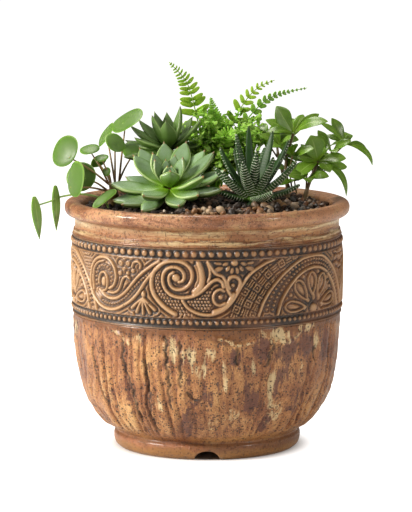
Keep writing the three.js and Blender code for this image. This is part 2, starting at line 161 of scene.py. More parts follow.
def add_piece(name: str, shell: Shell, material: Material, nodes: Sequence[str] = ()) -> None:
    """Make a Blender object from a shell and set it in the frame.

    Args:
        name: The piece's name.
        shell: Its mesh, in millimetres.
        material: Its finish.
        nodes: The CAD nodes that the piece stands for.
    """
    mesh = bpy.data.meshes.new(name)
    corners = np.where(shell.faces[:, 3] < 0, 3, 4)
    loops = shell.faces[shell.faces >= 0]
    mesh.vertices.add(len(shell.points))
    mesh.vertices.foreach_set("co", (shell.points * MM).astype(np.float32).ravel())
    mesh.loops.add(len(loops))
    mesh.loops.foreach_set("vertex_index", loops.astype(np.int32))
    mesh.polygons.add(len(corners))
    mesh.polygons.foreach_set("loop_start", np.concatenate([[0], np.cumsum(corners)[:-1]]).astype(np.int32))
    mesh.update(calc_edges=True)
    mesh.validate()
    mesh.shade_smooth()
    for value_name, array in shell.values.items():
        attribute = mesh.attributes.new(value_name, "FLOAT", "POINT")
        attribute.data.foreach_set("value", array.astype(np.float32))
    mesh.materials.append(material)
    piece = bpy.data.objects.new(name, mesh)
    bpy.context.scene.collection.objects.link(piece)
    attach(piece, "root")
    if nodes:
        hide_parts(*nodes)
    LOG.info("%s: %d faces", name, len(corners))


def unit(vector: Array) -> Array:
    """Scale a vector, or each row of an array of vectors, to length one."""
    return vector / np.linalg.norm(vector, axis=-1, keepdims=True)


def heading(turn: float, rise: float) -> Array:
    """Give the unit vector at a turn from +X and a rise above the horizon, in degrees."""
    t, r = math.radians(turn), math.radians(rise)
    return np.array([math.cos(r) * math.cos(t), math.cos(r) * math.sin(t), math.sin(r)])


def turn_and_rise(way: Array) -> tuple[float, float]:
    """Give the turn and the rise of a unit vector, in degrees."""
    return math.degrees(math.atan2(way[1], way[0])), math.degrees(math.asin(way[2]))


def rounded(radius: Array | float, angle: Array, height: Array) -> Array:
    """Give points at a radius, angles and heights."""
    return np.stack([radius * np.cos(angle), radius * np.sin(angle), height], axis=-1)


def even_angles(count: int) -> Array:
    """Give a number of angles spread evenly over a full turn, in radians."""
    return FULL_TURN * np.arange(count) / count


def smooth_step(value: Array, low: float, high: float) -> Array:
    """Rise smoothly from 0 at low to 1 at high, or fall where low is the greater."""
    t = np.clip((value - low) / (high - low), 0.0, 1.0)
    return t * t * (3.0 - 2.0 * t)


def smooth_line(points: Sequence[Sequence[float]], count: int) -> Array:
    """Sample a Catmull-Rom line through points, evenly along its length.

    Args:
        points: The points that the line passes through.
        count: How many samples to return.

    Returns:
        The samples, one a row.
    """
    knots = np.array(points, float)
    padded = np.vstack([2 * knots[0] - knots[1], knots, 2 * knots[-1] - knots[-2]])
    fine = []
    steps_between = 16
    t = np.linspace(0, 1, steps_between, endpoint=False)[:, None]
    for i in range(len(knots) - 1):
        a, b, c, d = padded[i : i + 4]
        square, cube = 2 * a - 5 * b + 4 * c - d, 3 * b - a - 3 * c + d
        fine.append(0.5 * (2 * b + (c - a) * t + square * t**2 + cube * t**3))
    line = np.vstack(fine + [knots[-1:]])
    reach = distances_along(line)
    wanted = np.linspace(0, reach[-1], count)
    return np.stack([np.interp(wanted, reach, line[:, k]) for k in range(knots.shape[1])], axis=-1)


def distances_along(line: Array) -> Array:
    """Give the distance from a line's start to each of its points."""
    return np.concatenate([[0], np.cumsum(np.linalg.norm(np.diff(line, axis=0), axis=1))])


class TiledNoise:
    """A smooth random field from 0 to 1 that closes on itself round the pot."""

    def __init__(self, seed: int, cells_round: int, cells_up: int) -> None:
        """Draw the field's lattice."""
        self.lattice = np.random.default_rng(seed).random((cells_up + 2, cells_round))
        self.cells_up = cells_up

    def __call__(self, turn: Array, height: Array) -> Array:
        """Read the field.

        Args:
            turn: Places round the pot, where 1 is a whole turn.
            height: Places up the pot, from 0 to 1.

        Returns:
            The field's values there.
        """
        columns = self.lattice.shape[1]
        x = np.mod(turn, 1.0) * columns
        y = np.clip(height, 0.0, 1.0) * self.cells_up
        i, j = np.floor(x).astype(int), np.floor(y).astype(int)
        fx, fy = x - i, y - j
        fx, fy = fx * fx * (3 - 2 * fx), fy * fy * (3 - 2 * fy)
        i0, i1 = i % columns, (i + 1) % columns
        j1 = np.minimum(j + 1, self.cells_up + 1)
        low = self.lattice[j, i0] * (1 - fx) + self.lattice[j, i1] * fx
        high = self.lattice[j1, i0] * (1 - fx) + self.lattice[j1, i1] * fx
        return low * (1 - fy) + high * fy


# ================================================================ node groups and finishes


Value = Union["Signal", float, Colour]
Key = Union[int, str]


class Signal:
    """The value of a node's output. Its operators and methods add the nodes that work on it."""

    def __init__(self, canvas: "Canvas", socket: Socket) -> None:
        """Keep the socket, and the canvas that new nodes go on."""
        self.canvas = canvas
        self.socket = socket

    def __add__(self, other: Value) -> "Signal":
        """Add a number or a signal."""
        return self.canvas.math("ADD", self, other)

    def __sub__(self, other: Value) -> "Signal":
        """Take off a number or a signal."""
        return self.canvas.math("SUBTRACT", self, other)

    def __mul__(self, other: Value) -> "Signal":
        """Multiply by a number or a signal."""
        return self.canvas.math("MULTIPLY", self, other)

    def __truediv__(self, other: Value) -> "Signal":
        """Divide by a number or a signal."""
        return self.canvas.math("DIVIDE", self, other)

    def span(self, low: Value, high: Value, to_low: float = 0.0, to_high: float = 1.0) -> "Signal":
        """Map the value smoothly from low..high to to_low..to_high."""
        inputs = {0: self, 1: low, 2: high, 3: to_low, 4: to_high}
        return self.canvas.add("ShaderNodeMapRange", inputs, interpolation_type="SMOOTHSTEP")

    def between(self, low: Value, high: Value) -> "Signal":
        """Mix two colours: low where this is 0, and high where it is 1."""
        return self.canvas.add("ShaderNodeMix", {0: self, 6: low, 7: high}, 2, data_type="RGBA")

    def ramp(self, *stops: tuple[float, Colour]) -> "Signal":
        """Turn the value into a colour by a Color Ramp with stops of (place, colour).

        Args:
            stops: Each stop's place from 0 to 1, and its colour.

        Returns:
            The colour.
        """
        node = self.canvas.node("ShaderNodeValToRGB", {0: self})
        elements = node.color_ramp.elements
        while len(elements) < len(stops):
            elements.new(0.5)
        for element, (place, colour) in zip(elements, stops):
            element.position = place
            element.color = (*colour, 1.0)
        return Signal(self.canvas, node.outputs[0])

    def parts(self, kind: str = "XYZ") -> list["Signal"]:
        """Split a vector, or a colour where kind is Color, into its three numbers."""
        node = self.canvas.node(f"ShaderNodeSeparate{kind}", {0: self})
        return [Signal(self.canvas, socket) for socket in node.outputs]

    def squashed(self, times: float) -> "Signal":
        """Scale a place up in height, so that a texture on it lies flatter."""
        return self.canvas.add("ShaderNodeVectorMath", {0: self, 1: (1.0, 1.0, times)}, operation="MULTIPLY")

    def bump(self, depth: float) -> "Signal":
        """Use the value as a height of 0 to 1 that is depth millimetres deep, and give the normal."""
        return self.canvas.add("ShaderNodeBump", {"Strength": 1.0, "Distance": depth * MM, "Height": self})


class Canvas:
    """Adds nodes to one node tree in short calls."""

    def __init__(self, tree: NodeTree) -> None:
        """Keep the tree that the nodes go in."""
        self.tree = tree

    def node(self, kind: str, inputs: dict[Key, Value], **settings: object) -> Node:
        """Add a node.

        Args:
            kind: Its type.
            inputs: What to feed to its inputs, by number or name.
            settings: Its settings by name.

        Returns:
            The node.
        """
        node = self.tree.nodes.new(kind)
        for name, setting in settings.items():
            setattr(node, name, setting)
        for key, value in inputs.items():
            self.feed(node.inputs[key], value)
        return node

    def add(self, kind: str, inputs: dict[Key, Value], out: Key = 0, **settings: object) -> Signal:
        """Add a node, and give one of its outputs."""
        return Signal(self, self.node(kind, inputs, **settings).outputs[out])

    def feed(self, socket: Socket, value: Value) -> None:
        """Link a socket to a signal, or set its own value.

        Args:
            socket: The input.
            value: A signal, a number, a vector or a colour.
        """
        if isinstance(value, Signal):
            self.tree.links.new(value.socket, socket)
        elif isinstance(value, tuple) and socket.type == "RGBA":
            socket.default_value = (*value, 1.0)
        else:
            socket.default_value = value

    def math(self, operation: str, a: Value, b: Value = 0.0) -> Signal:
        """Add a Math node."""
        return self.add("ShaderNodeMath", {0: a, 1: b}, operation=operation)

    def place(self) -> Signal:
        """Give the point's place on the object, in metres."""
        return self.add("ShaderNodeTexCoord", {}, "Object")

    def noise(
            self, at: Signal, scale: Value, detail: float, rough: float = 0.55, warp: float = 0.0) -> Signal:
        """Add a Noise Texture on a vector."""
        inputs = {"Vector": at, "Scale": scale, "Detail": detail, "Roughness": rough, "Distortion": warp}
        return self.add("ShaderNodeTexNoise", inputs)

    def value(self, name: str) -> Signal:
        """Read one of the mesh's point values."""
        return self.add("ShaderNodeAttribute", {}, "Fac", attribute_name=name)

    def group(self, tree: NodeTree, **inputs: Value) -> Signal:
        """Place a node group and feed its inputs, whose names are given with _ for a space."""
        named = {name.replace("_", " "): value for name, value in inputs.items()}
        return self.add("ShaderNodeGroup", named, node_tree=tree)


class GroupCanvas(Canvas):
    """A canvas on a new shader node group that has one output."""

    def __init__(self, name: str, output: tuple[str, str], inputs: Sequence[tuple[str, str]]) -> None:
        """Start the group.

        Args:
            name: The group's name.
            output: The name and kind of its output, where a kind is Float, Color or Vector.
            inputs: The same for each of its inputs.
        """
        super().__init__(bpy.data.node_groups.new(name, "ShaderNodeTree"))
        for label, kind in inputs:
            self.tree.interface.new_socket(name=label, in_out="INPUT", socket_type=f"NodeSocket{kind}")
        label, kind = output
        self.tree.interface.new_socket(name=label, in_out="OUTPUT", socket_type=f"NodeSocket{kind}")
        sockets = self.node("NodeGroupInput", {}).outputs
        self.given = [Signal(self, socket) for socket, _ in zip(sockets, inputs)]

    def close(self, result: Signal) -> NodeTree:
        """Feed the group's output, and give the group."""
        self.node("NodeGroupOutput", {0: result})
        return self.tree


class Groups:
    """The shared node groups, each built once."""

    def __init__(self) -> None:
        """Build the groups."""
        self.specks = self._specks()
        self.streaks = self._streaks()
        self.grain = self._grain()
        self.leaf = self._leaf()

    def _specks(self) -> NodeTree:
        """Build the group for specks, such as iron spots in a glaze.

        Returns:
            A group that puts out a mask, 1 in a speck. Scale is in cells a metre, Radius is a share of a
            cell, and Share says how many cells have a speck.
        """
        inputs = [("Vector", "Vector"), ("Scale", "Float"), ("Radius", "Float"), ("Share", "Float")]
        canvas = GroupCanvas("specks", ("Mask", "Float"), inputs)
        vector, scale, radius, share = canvas.given
        ripple = canvas.add("ShaderNodeTexNoise", {"Vector": vector, "Scale": scale * 1.6}, "Color")
        ripple_size = canvas.math("DIVIDE", 0.6, scale)
        shift = canvas.add("ShaderNodeVectorMath", {0: ripple, "Scale": ripple_size}, operation="SCALE")
        moved = canvas.add("ShaderNodeVectorMath", {0: vector, 1: shift}, operation="ADD")
        cells = canvas.node("ShaderNodeTexVoronoi", {"Vector": moved, "Scale": scale})
        chance, size, _ = Signal(canvas, cells.outputs["Color"]).parts("Color")
        chosen = canvas.math("LESS_THAN", chance, share)
        own_radius = radius * (size + 0.35)
        spot = Signal(canvas, cells.outputs["Distance"]).span(own_radius, own_radius * 0.6)
        return canvas.close(spot * chosen)

    def _streaks(self) -> NodeTree:
        """Build the group for streaks that run down a wall.

        Returns:
            A group that puts out a value from 0 to 1. Scale is in streaks a metre, and Stretch says how much
            longer than wide they are.
        """
        inputs = [("Vector", "Vector"), ("Scale", "Float"), ("Stretch", "Float")]
        canvas = GroupCanvas("streaks", ("Value", "Float"), inputs)
        vector, scale, stretch = canvas.given
        x, y, z = vector.parts()
        squeezed = canvas.add("ShaderNodeCombineXYZ", {0: x, 1: y, 2: z / stretch})
        return canvas.close(canvas.noise(squeezed, scale, 4.0, 0.6, 0.3))

    def _grain(self) -> NodeTree:
        """Build the group for the fine uneven grain of clay, soil, stone and bark.

        Returns:
            A group that puts out a height from 0 to 1 at two scales. Scale is in grains a metre.
        """
        canvas = GroupCanvas("grain", ("Height", "Float"), [("Vector", "Vector"), ("Scale", "Float")])
        vector, scale = canvas.given
        coarse = canvas.noise(vector, scale, 2.0, 0.5)
        fine = canvas.noise(vector, scale * 3.7, 2.0, 0.6)
        return canvas.close(coarse * 0.65 + fine * 0.35)

    def _leaf(self) -> NodeTree:
        """Build the group for the skin of a leaf.

        Returns:
            A group that puts out a colour. It shades from Deep at the leaf's base to Fresh, lays Bloom over
            the upper side, and tints the margin, the tip and the middle rib. Tone varies it leaf by leaf.
            Where
            Deep is darker than Fresh, the dark base is partly its own colour and partly painted shade where
            the leaves crowd.
        """
        shares = ("Bloom Share", "Margin Share", "Tip Share", "Rib Share")
        numbers = ("Along", "Across", "Upper", "Tone", "Mottle Scale")
        colours = ("Deep", "Fresh", "Bloom", "Margin", "Tip", "Rib")
        inputs = [(name, "Float") for name in (*shares, *numbers)] + [(name, "Color") for name in colours]
        canvas = GroupCanvas("leaf skin", ("Color", "Color"), inputs)
        bloom_share, margin_share, tip_share, rib_share = canvas.given[:4]
        along, across, upper, tone, mottle_scale = canvas.given[4:9]
        deep, fresh, bloom, margin, tip, rib = canvas.given[9:]
        side = canvas.math("ABSOLUTE", across)
        mottle = canvas.noise(canvas.place(), mottle_scale, 3.0, 0.6)
        reach = along + (mottle - 0.5) * 0.25
        # Deep at the base: where it is darker than Fresh, partly painted shade where the leaves crowd.
        body = reach.span(0.0, 0.45).between(deep, fresh)
        dusted = upper.span(0.0, 1.0, 0.35, 1.0) * bloom_share * (mottle + reach).span(0.60, 1.40)
        body = (dusted * side.span(1.0, 0.50, 0.25, 1.0)).between(body, bloom)
        body = (side.span(0.09, 0.02) * rib_share * along.span(1.0, 0.6)).between(body, rib)
        body = (side.span(0.89, 0.98) * margin_share * along.span(0.08, 0.4)).between(body, margin)
        body = (along.span(0.955, 0.995) * tip_share).between(body, tip)
        lift = (tone + mottle * 0.5) * 0.42 + 0.70
        return canvas.close(canvas.add("ShaderNodeHueSaturation", {"Value": lift, "Color": body}))


class MaterialCanvas(Canvas):
    """A canvas on a new material."""

    def __init__(self, name: str) -> None:
        """Start the material.

        Args:
            name: Its name.
        """
        self.material = bpy.data.materials.new(name)
        self.material.use_nodes = True
        super().__init__(self.material.node_tree)

    def close(self, inputs: dict[str, Value]) -> Material:
        """Feed the Principled BSDF, and give the material.

        Args:
            inputs: What to feed to it, by the names of its sockets.

        Returns:
            The material.
        """
        shader = self.tree.nodes["Principled BSDF"]
        for name, value in inputs.items():
            self.feed(shader.inputs[name], value)
        return self.material


@dataclass(frozen=True)
class GlazeFinish:
    """Reduction-fired glaze: rust and tan, with cream runs, plum patches, cracks and iron specks."""

    char: Colour = (0.085, 0.024, 0.008)
    umbrous: Colour = (0.160, 0.054, 0.015)
    rust: Colour = (0.290, 0.100, 0.032)
    tan: Colour = (0.52, 0.238, 0.080)
    sand: Colour = (0.74, 0.440, 0.175)
    cream: Colour = (0.76, 0.585, 0.315)
    bone: Colour = (0.52, 0.30, 0.13)
    plum: Colour = (0.135, 0.044, 0.028)
    amber: Colour = (0.185, 0.058, 0.009)
    ochre: Colour = (0.34, 0.155, 0.038)
    terracotta: Colour = (0.24, 0.080, 0.028)
    terracotta_pale: Colour = (0.60, 0.29, 0.14)
    foot_pale: Colour = (0.37, 0.132, 0.052)
    soot: Colour = (0.020, 0.011, 0.006)
    iron: Colour = (0.032, 0.014, 0.007)
    umber: Colour = (0.026, 0.014, 0.008)
    walnut: Colour = (0.185, 0.088, 0.036)
    biscuit: Colour = (0.34, 0.178, 0.074)
    rubbed: Colour = (0.58, 0.355, 0.185)
    roughest: float = 0.54
    smoothest: float = 0.32

    def wall(self, groups: Groups) -> Material:
        """Build the finish of the bowl, foot, collar and rim.

        Args:
            groups: The shared node groups.

        Returns:
            A material that reads the wall's values fold, tone, crack, cream and plum.
        """
        canvas = MaterialCanvas("stoneware_glaze")
        place = canvas.place()
        _, _, height = place.parts()
        clouds = canvas.noise(place, 26.0, 4.0, 0.6, 0.4)
        shreds = canvas.noise(place, 120.0, 3.0, 0.6, 0.8)
        grain = canvas.group(groups.grain, Vector=place, Scale=900.0)
        streaks = canvas.group(groups.streaks, Vector=place, Scale=230.0, Stretch=9.0)
        tear = canvas.group(groups.streaks, Vector=place, Scale=300.0, Stretch=6.0)
        body = self._fired_clay(canvas, streaks, clouds, grain)
        body = self._runs(canvas, body, tear * 3.5 + shreds * 1.1, clouds, grain)
        body = self._foot(place, body, clouds, shreds)
        body = self._collar(canvas, body, shreds)
        body = self._rim(canvas, body, clouds, grain)
        body = (canvas.value("crack") * 0.92).between(body, self.soot)
        pepper = canvas.group(groups.specks, Vector=place, Scale=600.0, Radius=0.48, Share=0.52)
        spots = canvas.group(groups.specks, Vector=place, Scale=230.0, Radius=0.25, Share=0.42)
        marks = canvas.math("MAXIMUM", pepper, spots)
        quiet = height.span(0.1780, 0.1820, 1.0, 0.5) * height.span(0.012, 0.018, 0.4, 1.0)
        return canvas.close({
            "Base Color": (marks * quiet * 0.86).between(body, self.iron),
            "Roughness": grain.span(0.3, 0.8, self.smoothest, self.roughest),
            "Coat Weight": height.span(0.1960, 0.2000, 0.26, 0.30),
            "Coat Roughness": 0.18,
            "Normal": (grain * 0.6 - marks * 0.5 + tear * 0.36).bump(1.20),
        })

    def _fired_clay(self, canvas: Canvas, streaks: Signal, clouds: Signal, grain: Signal) -> Signal:
        """Give the bowl's ground colour, with painted shade in the creases of its folds and a painted
        highlight on their crests.

        Args:
            canvas: The material's canvas.
            streaks: Streaks that run down the wall.
            clouds: Broad noise.
            grain: Fine grain.

        Returns:
            The colour.
        """
        fold = canvas.value("fold")
        # The fold's height darkens the creases and lightens the crests: painted shade and painted highlight.
        tint = fold * 0.46 + canvas.value("tone") * 0.11
        for layer, weight in ((streaks, 0.20), (clouds, 1.00), (grain, 0.85)):
            tint = tint + (layer - 0.5) * weight
        body = tint.ramp((0.04, self.char), (0.24, self.rust), (0.44, self.tan), (0.68, self.sand))
        # Painted shade in the creases of the folds.
        body = fold.span(0.40, 0.08, 0.0, 0.50).between(body, self.umbrous)
        # Painted highlight on the crests of the folds.
        return fold.span(0.84, 1.0, 0.0, 0.40).between(body, self.sand)

    def _runs(self, canvas: Canvas, body: Signal, ragged: Signal, clouds: Signal, grain: Signal) -> Signal:
        """Lay the plum patches, the cream runs and a darker amber zone just under the band over the body
        colour.

        Args:
            canvas: The material's canvas.
            body: The colour so far.
            ragged: What tears the edges.
            clouds: Broad noise.
            grain: Fine grain.

        Returns:
            The new colour.
        """
        _, _, height = canvas.place().parts()
        plum = (canvas.value("plum") + ragged).span(2.52, 2.98)
        body = (plum * 0.88).between(body, grain.span(0.48, 0.78).between(self.plum, self.rust))
        milky = (canvas.value("cream") * 1.1 - ragged + grain * 0.9).span(-1.24, -0.46, 0.0, 0.86)
        body = milky.between(body, self.cream)
        # Darker amber at the top of the bowl, just under the band.
        below_band = (height + clouds * 0.040).span(0.1235, 0.1310)
        return (below_band * milky.span(0.0, 0.6, 0.92, 0.15)).between(body, self.amber)

    def _foot(self, place: Signal, body: Signal, clouds: Signal, shreds: Signal) -> Signal:
        """Lay the foot's glaze over the body colour: bare clay below, a dark seam above, and painted shade
        towards its right side.

        Args:
            place: The point's place on the object.
            body: The colour so far.
            clouds: Broad noise.
            shreds: Ragged noise.

        Returns:
            The new colour.
        """
        x, _, height = place.parts()
        low = height + (clouds - 0.5) * 0.020
        glazed = shreds.span(0.38, 0.58).between(self.foot_pale, self.rust)
        # Painted shade: the foot's glaze darkens towards its right side, away from the key lamp.
        glazed = (x + clouds * 0.12).span(0.030, 0.090, 0.0, 0.90).between(glazed, self.umbrous)
        foot = low.span(0.0045, 0.0100).between(self.ochre, glazed)
        foot = low.span(0.0085, 0.0135).between(foot, self.umbrous)
        body = height.span(0.0165, 0.0125, 0.0, 0.80).between(body, foot)
        seam = height.span(0.0120, 0.0142) * height.span(0.0185, 0.0158)
        return (seam * 0.15).between(body, self.char)

    def _collar(self, canvas: Canvas, body: Signal, shreds: Signal) -> Signal:
        """Lay the pale glaze of the collar over the body colour.

        Args:
            canvas: The material's canvas.
            body: The colour so far.
            shreds: Ragged noise.

        Returns:
            The new colour.
        """
        place = canvas.place()
        x, _, height = place.parts()
        rings = canvas.noise(place.squashed(4.0), 26.0, 4.0, 0.62, 0.3)
        lines = canvas.noise(place.squashed(16.0), 45.0, 3.0, 0.6, 0.2)
        blots = canvas.noise(place.squashed(2.0), 30.0, 5.0, 0.65, 0.6)
        bottom, top = 0.1815, 0.1975
        share = (height + (rings - 0.5) * 0.012 - bottom) / (top - bottom)
        pale = share.ramp(
            (0.0, self.umbrous), (0.11, self.bone), (0.21, self.cream), (0.30, self.umbrous),
            (0.38, self.tan), (0.58, self.bone), (0.76, self.cream), (0.89, self.bone), (1.0, self.rust))
        worked = x.span(-0.090, -0.015, 0.35, 1.0)
        pale = (lines.span(0.52, 0.64, 0.0, 0.75) * worked).between(pale, self.rust)
        pale = lines.span(0.44, 0.32, 0.0, 0.60).between(pale, self.cream)
        pale = (blots.span(0.48, 0.64, 0.0, 0.80) * worked).between(pale, self.rust)
        browned = x.span(-0.108, -0.088, 0.12, 0.60) * x.span(-0.020, -0.060)
        pale = browned.between(pale, self.rust)
        wobble = height + shreds * 0.0024
        band = wobble.span(0.1812, 0.1835) * wobble.span(0.1985, 0.1955)
        return (band * 0.9).between(body, pale)

    def _rim(self, canvas: Canvas, body: Signal, clouds: Signal, grain: Signal) -> Signal:
        """Lay the plain terracotta slip of the rolled rim over the body colour, with a painted highlight
        that pales its right edge.

        Args:
            canvas: The material's canvas.
            body: The colour so far.
            clouds: Broad noise.
            grain: Fine grain.

        Returns:
            The new colour.
        """
        place = canvas.place()
        x, _, height = place.parts()
        stains = canvas.noise(place.squashed(3.0), 55.0, 5.0, 0.65, 0.8)
        slip = (clouds * 0.7 + grain * 0.5).span(0.50, 0.74).between(self.terracotta, self.terracotta_pale)
        slip = stains.span(0.52, 0.68, 0.0, 0.75).between(slip, self.umbrous)
        slip = stains.span(0.49, 0.36, 0.0, 0.85).between(slip, self.bone)
        # Painted highlight: the slip turns pale towards the rim's right edge.
        slip = (x + stains * 0.10).span(0.105, 0.155, 0.0, 0.55).between(slip, self.terracotta_pale)
        return (height + clouds * 0.003).span(0.1955, 0.1985).between(body, slip)

    def band(self, groups: Groups) -> Material:
        """Build the relief band's finish: dark stain in its hollows, rubbed back to tan on its ridges, and
        paler on its left side as painted light.

        Args:
            groups: The shared node groups.

        Returns:
            A material that reads the band's value relief.
        """
        canvas = MaterialCanvas("relief_band_glaze")
        place = canvas.place()
        x, _, _ = place.parts()
        clouds = canvas.noise(place, 45.0, 3.0, 0.6)
        grain = canvas.group(groups.grain, Vector=place, Scale=700.0)
        specks = canvas.group(groups.specks, Vector=place, Scale=340.0, Radius=0.28, Share=0.26)
        raised = canvas.value("relief") + (grain - 0.5) * 0.62 + (clouds - 0.5) * 0.34
        # Painted light: the band is lifted towards tan on its left side, where the key lamp falls.
        raised = raised + x.span(0.010, -0.085, 0.0, 0.11)
        stops = ((0.19, self.umber), (0.39, self.walnut), (0.62, self.biscuit), (0.98, self.rubbed))
        body = raised.ramp(*stops)
        body = (clouds + x * 1.2).span(0.46, 0.68, 0.0, 0.30).between(body, self.rust)
        return canvas.close({
            "Base Color": (specks * 0.7).between(body, self.soot),
            "Roughness": raised.span(0.1, 0.9, 0.46, 0.32),
            "Coat Weight": 0.25,
            "Coat Roughness": 0.25,
            "Normal": grain.bump(0.34),
        })


@dataclass(frozen=True)
class LeafFinish:
    """The skin of one kind of leaf."""

    name: str
    # deep is the colour at the leaf's base; where it is darker than fresh, it is partly painted shade.
    deep: Colour
    fresh: Colour
    mottle_scale: float
    roughness: float
    bloom: Colour = BLACK
    margin: Colour = BLACK
    tip: Colour = BLACK
    rib: Colour = BLACK
    bloom_share: float = 0.0
    margin_share: float = 0.0
    tip_share: float = 0.0
    rib_share: float = 0.0
    glow: float = 0.10
    glow_reach: float = 1.5
    shine: float = 0.5
    grain_depth: float = 0.05
    pearl: Colour | None = None

    def build(self, groups: Groups) -> Material:
        """Build the material.

        Args:
            groups: The shared node groups.

        Returns:
            A material that reads the leaf's values along, across, upper, tone and, on a pearled leaf, pearl.
        """
        canvas = MaterialCanvas(self.name)
        read = {name.title(): canvas.value(name) for name in ("along", "across", "upper", "tone")}
        colour = canvas.group(
            groups.leaf, Bloom_Share=self.bloom_share, Margin_Share=self.margin_share,
            Tip_Share=self.tip_share, Rib_Share=self.rib_share, Mottle_Scale=self.mottle_scale,
            Deep=self.deep, Fresh=self.fresh, Bloom=self.bloom, Margin=self.margin, Tip=self.tip,
            Rib=self.rib, **read)
        if self.pearl is not None:
            colour = canvas.value("pearl").span(0.30, 0.62).between(colour, self.pearl)
        grain = canvas.group(groups.grain, Vector=canvas.place(), Scale=1300.0)
        return canvas.close({
            "Base Color": colour,
            "Roughness": grain.span(0.3, 0.8, self.roughness - 0.06, self.roughness + 0.08),
            "Normal": grain.bump(self.grain_depth),
            "Specular IOR Level": self.shine,
            "Subsurface Weight": self.glow,
            "Subsurface Radius": (0.72, 1.0, 0.28),
            "Subsurface Scale": self.glow_reach * MM,
        })


@dataclass(frozen=True)
class GritFinish:
    """Soil, gravel or bark: a tone for each grain, with a rough grain of its own."""

    name: str
    stops: tuple[tuple[float, Colour], ...]
    grain_scale: float
    grain_depth: float
    roughness: float
    vary: float = 0.35

    def build(self, groups: Groups) -> Material:
        """Build the material, which reads the value tone.

        Args:
            groups: The shared node groups.

        Returns:
            A material that reads the value tone.
        """
        canvas = MaterialCanvas(self.name)
        grain = canvas.group(groups.grain, Vector=canvas.place(), Scale=self.grain_scale)
        return canvas.close({
            "Base Color": (canvas.value("tone") + (grain - 0.5) * self.vary).ramp(*self.stops),
            "Roughness": grain.span(0.2, 0.9, self.roughness - 0.1, self.roughness + 0.1),
            "Normal": grain.bump(self.grain_depth),
        })


# ================================================================ leaves and stems


class Outline(Enum):
    """How a leaf's half width runs from base to tip, as a share of its widest."""

    SPOON = "spoon"
    LANCE = "lance"
    STRAP = "strap"
    OBOVATE = "obovate"
    OBLONG = "oblong"
    FAN = "fan"

    def share(self, t: Array) -> Array:
        """Give the half width at t, where 0 is the base and 1 the tip.

        Args:
            t: Places along the leaf.

        Returns:
            The half widths there, as shares of the widest.
        """
        if self is Outline.SPOON:
            widest = 0.62
            rising = 0.40 + 0.60 * np.sin(np.minimum(t / widest, 1) * math.pi / 2) ** 1.3
            falling = 1 - (np.clip(t - widest, 0, 1) / (1 - widest)) ** 1.9
            return np.where(t < widest, rising, falling)
        if self is Outline.LANCE:
            return 0.3 * (1 - t) ** 2 + np.sin(math.pi * np.minimum(1, t**0.85)) ** 0.95
        if self is Outline.STRAP:
            return (1 - t) ** 0.55 * (0.85 + 0.25 * t)
        if self is Outline.OBOVATE:
            return 0.12 * (1 - t) + np.sin(math.pi * t**1.35) ** 0.85
        if self is Outline.FAN:
            return 0.10 * (1 - t) + np.sin(math.pi * t**1.7) ** 0.7
        return np.minimum(1, 0.35 + 3.2 * t) * (1 - t**4.5) ** 0.6


@dataclass(frozen=True)
class LeafForm:
    """The shape of a leaf before it is placed.

    Lengths are in millimetres. bow, cup, fold and curl are shares of the leaf's length or width.
    """

    outline: Outline
    length: float
    width: float
    thick: float
    bow: float = 0.0
    cup: float = 0.0
    keel: float = 0.0
    fold: float = 0.0
    curl: float = 0.0
    twist: float = 0.0
    wave: float = 0.0
    waves: float = 2.0
    lobes: int = 0
    lobe_depth: float = 0.0
    mucro: float = 0.0
    rows: int = 18
    sides: int = 14
    pearls: bool = False


@dataclass(frozen=True)
class LeafPose:
    """Where a leaf starts, which way it goes, and the way that its upper side looks."""

    base: Point
    turn: float
    rise: float
    face: Point

    def axes(self) -> tuple[Array, Array, Array]:
        """Give the unit vectors along, across and up from the leaf.

        Returns:
            The three vectors.
        """
        forward = heading(self.turn, self.rise)
        face = np.array(self.face, float)
        upper = unit(face - forward * np.dot(face, forward))
        return forward, np.cross(forward, upper), upper


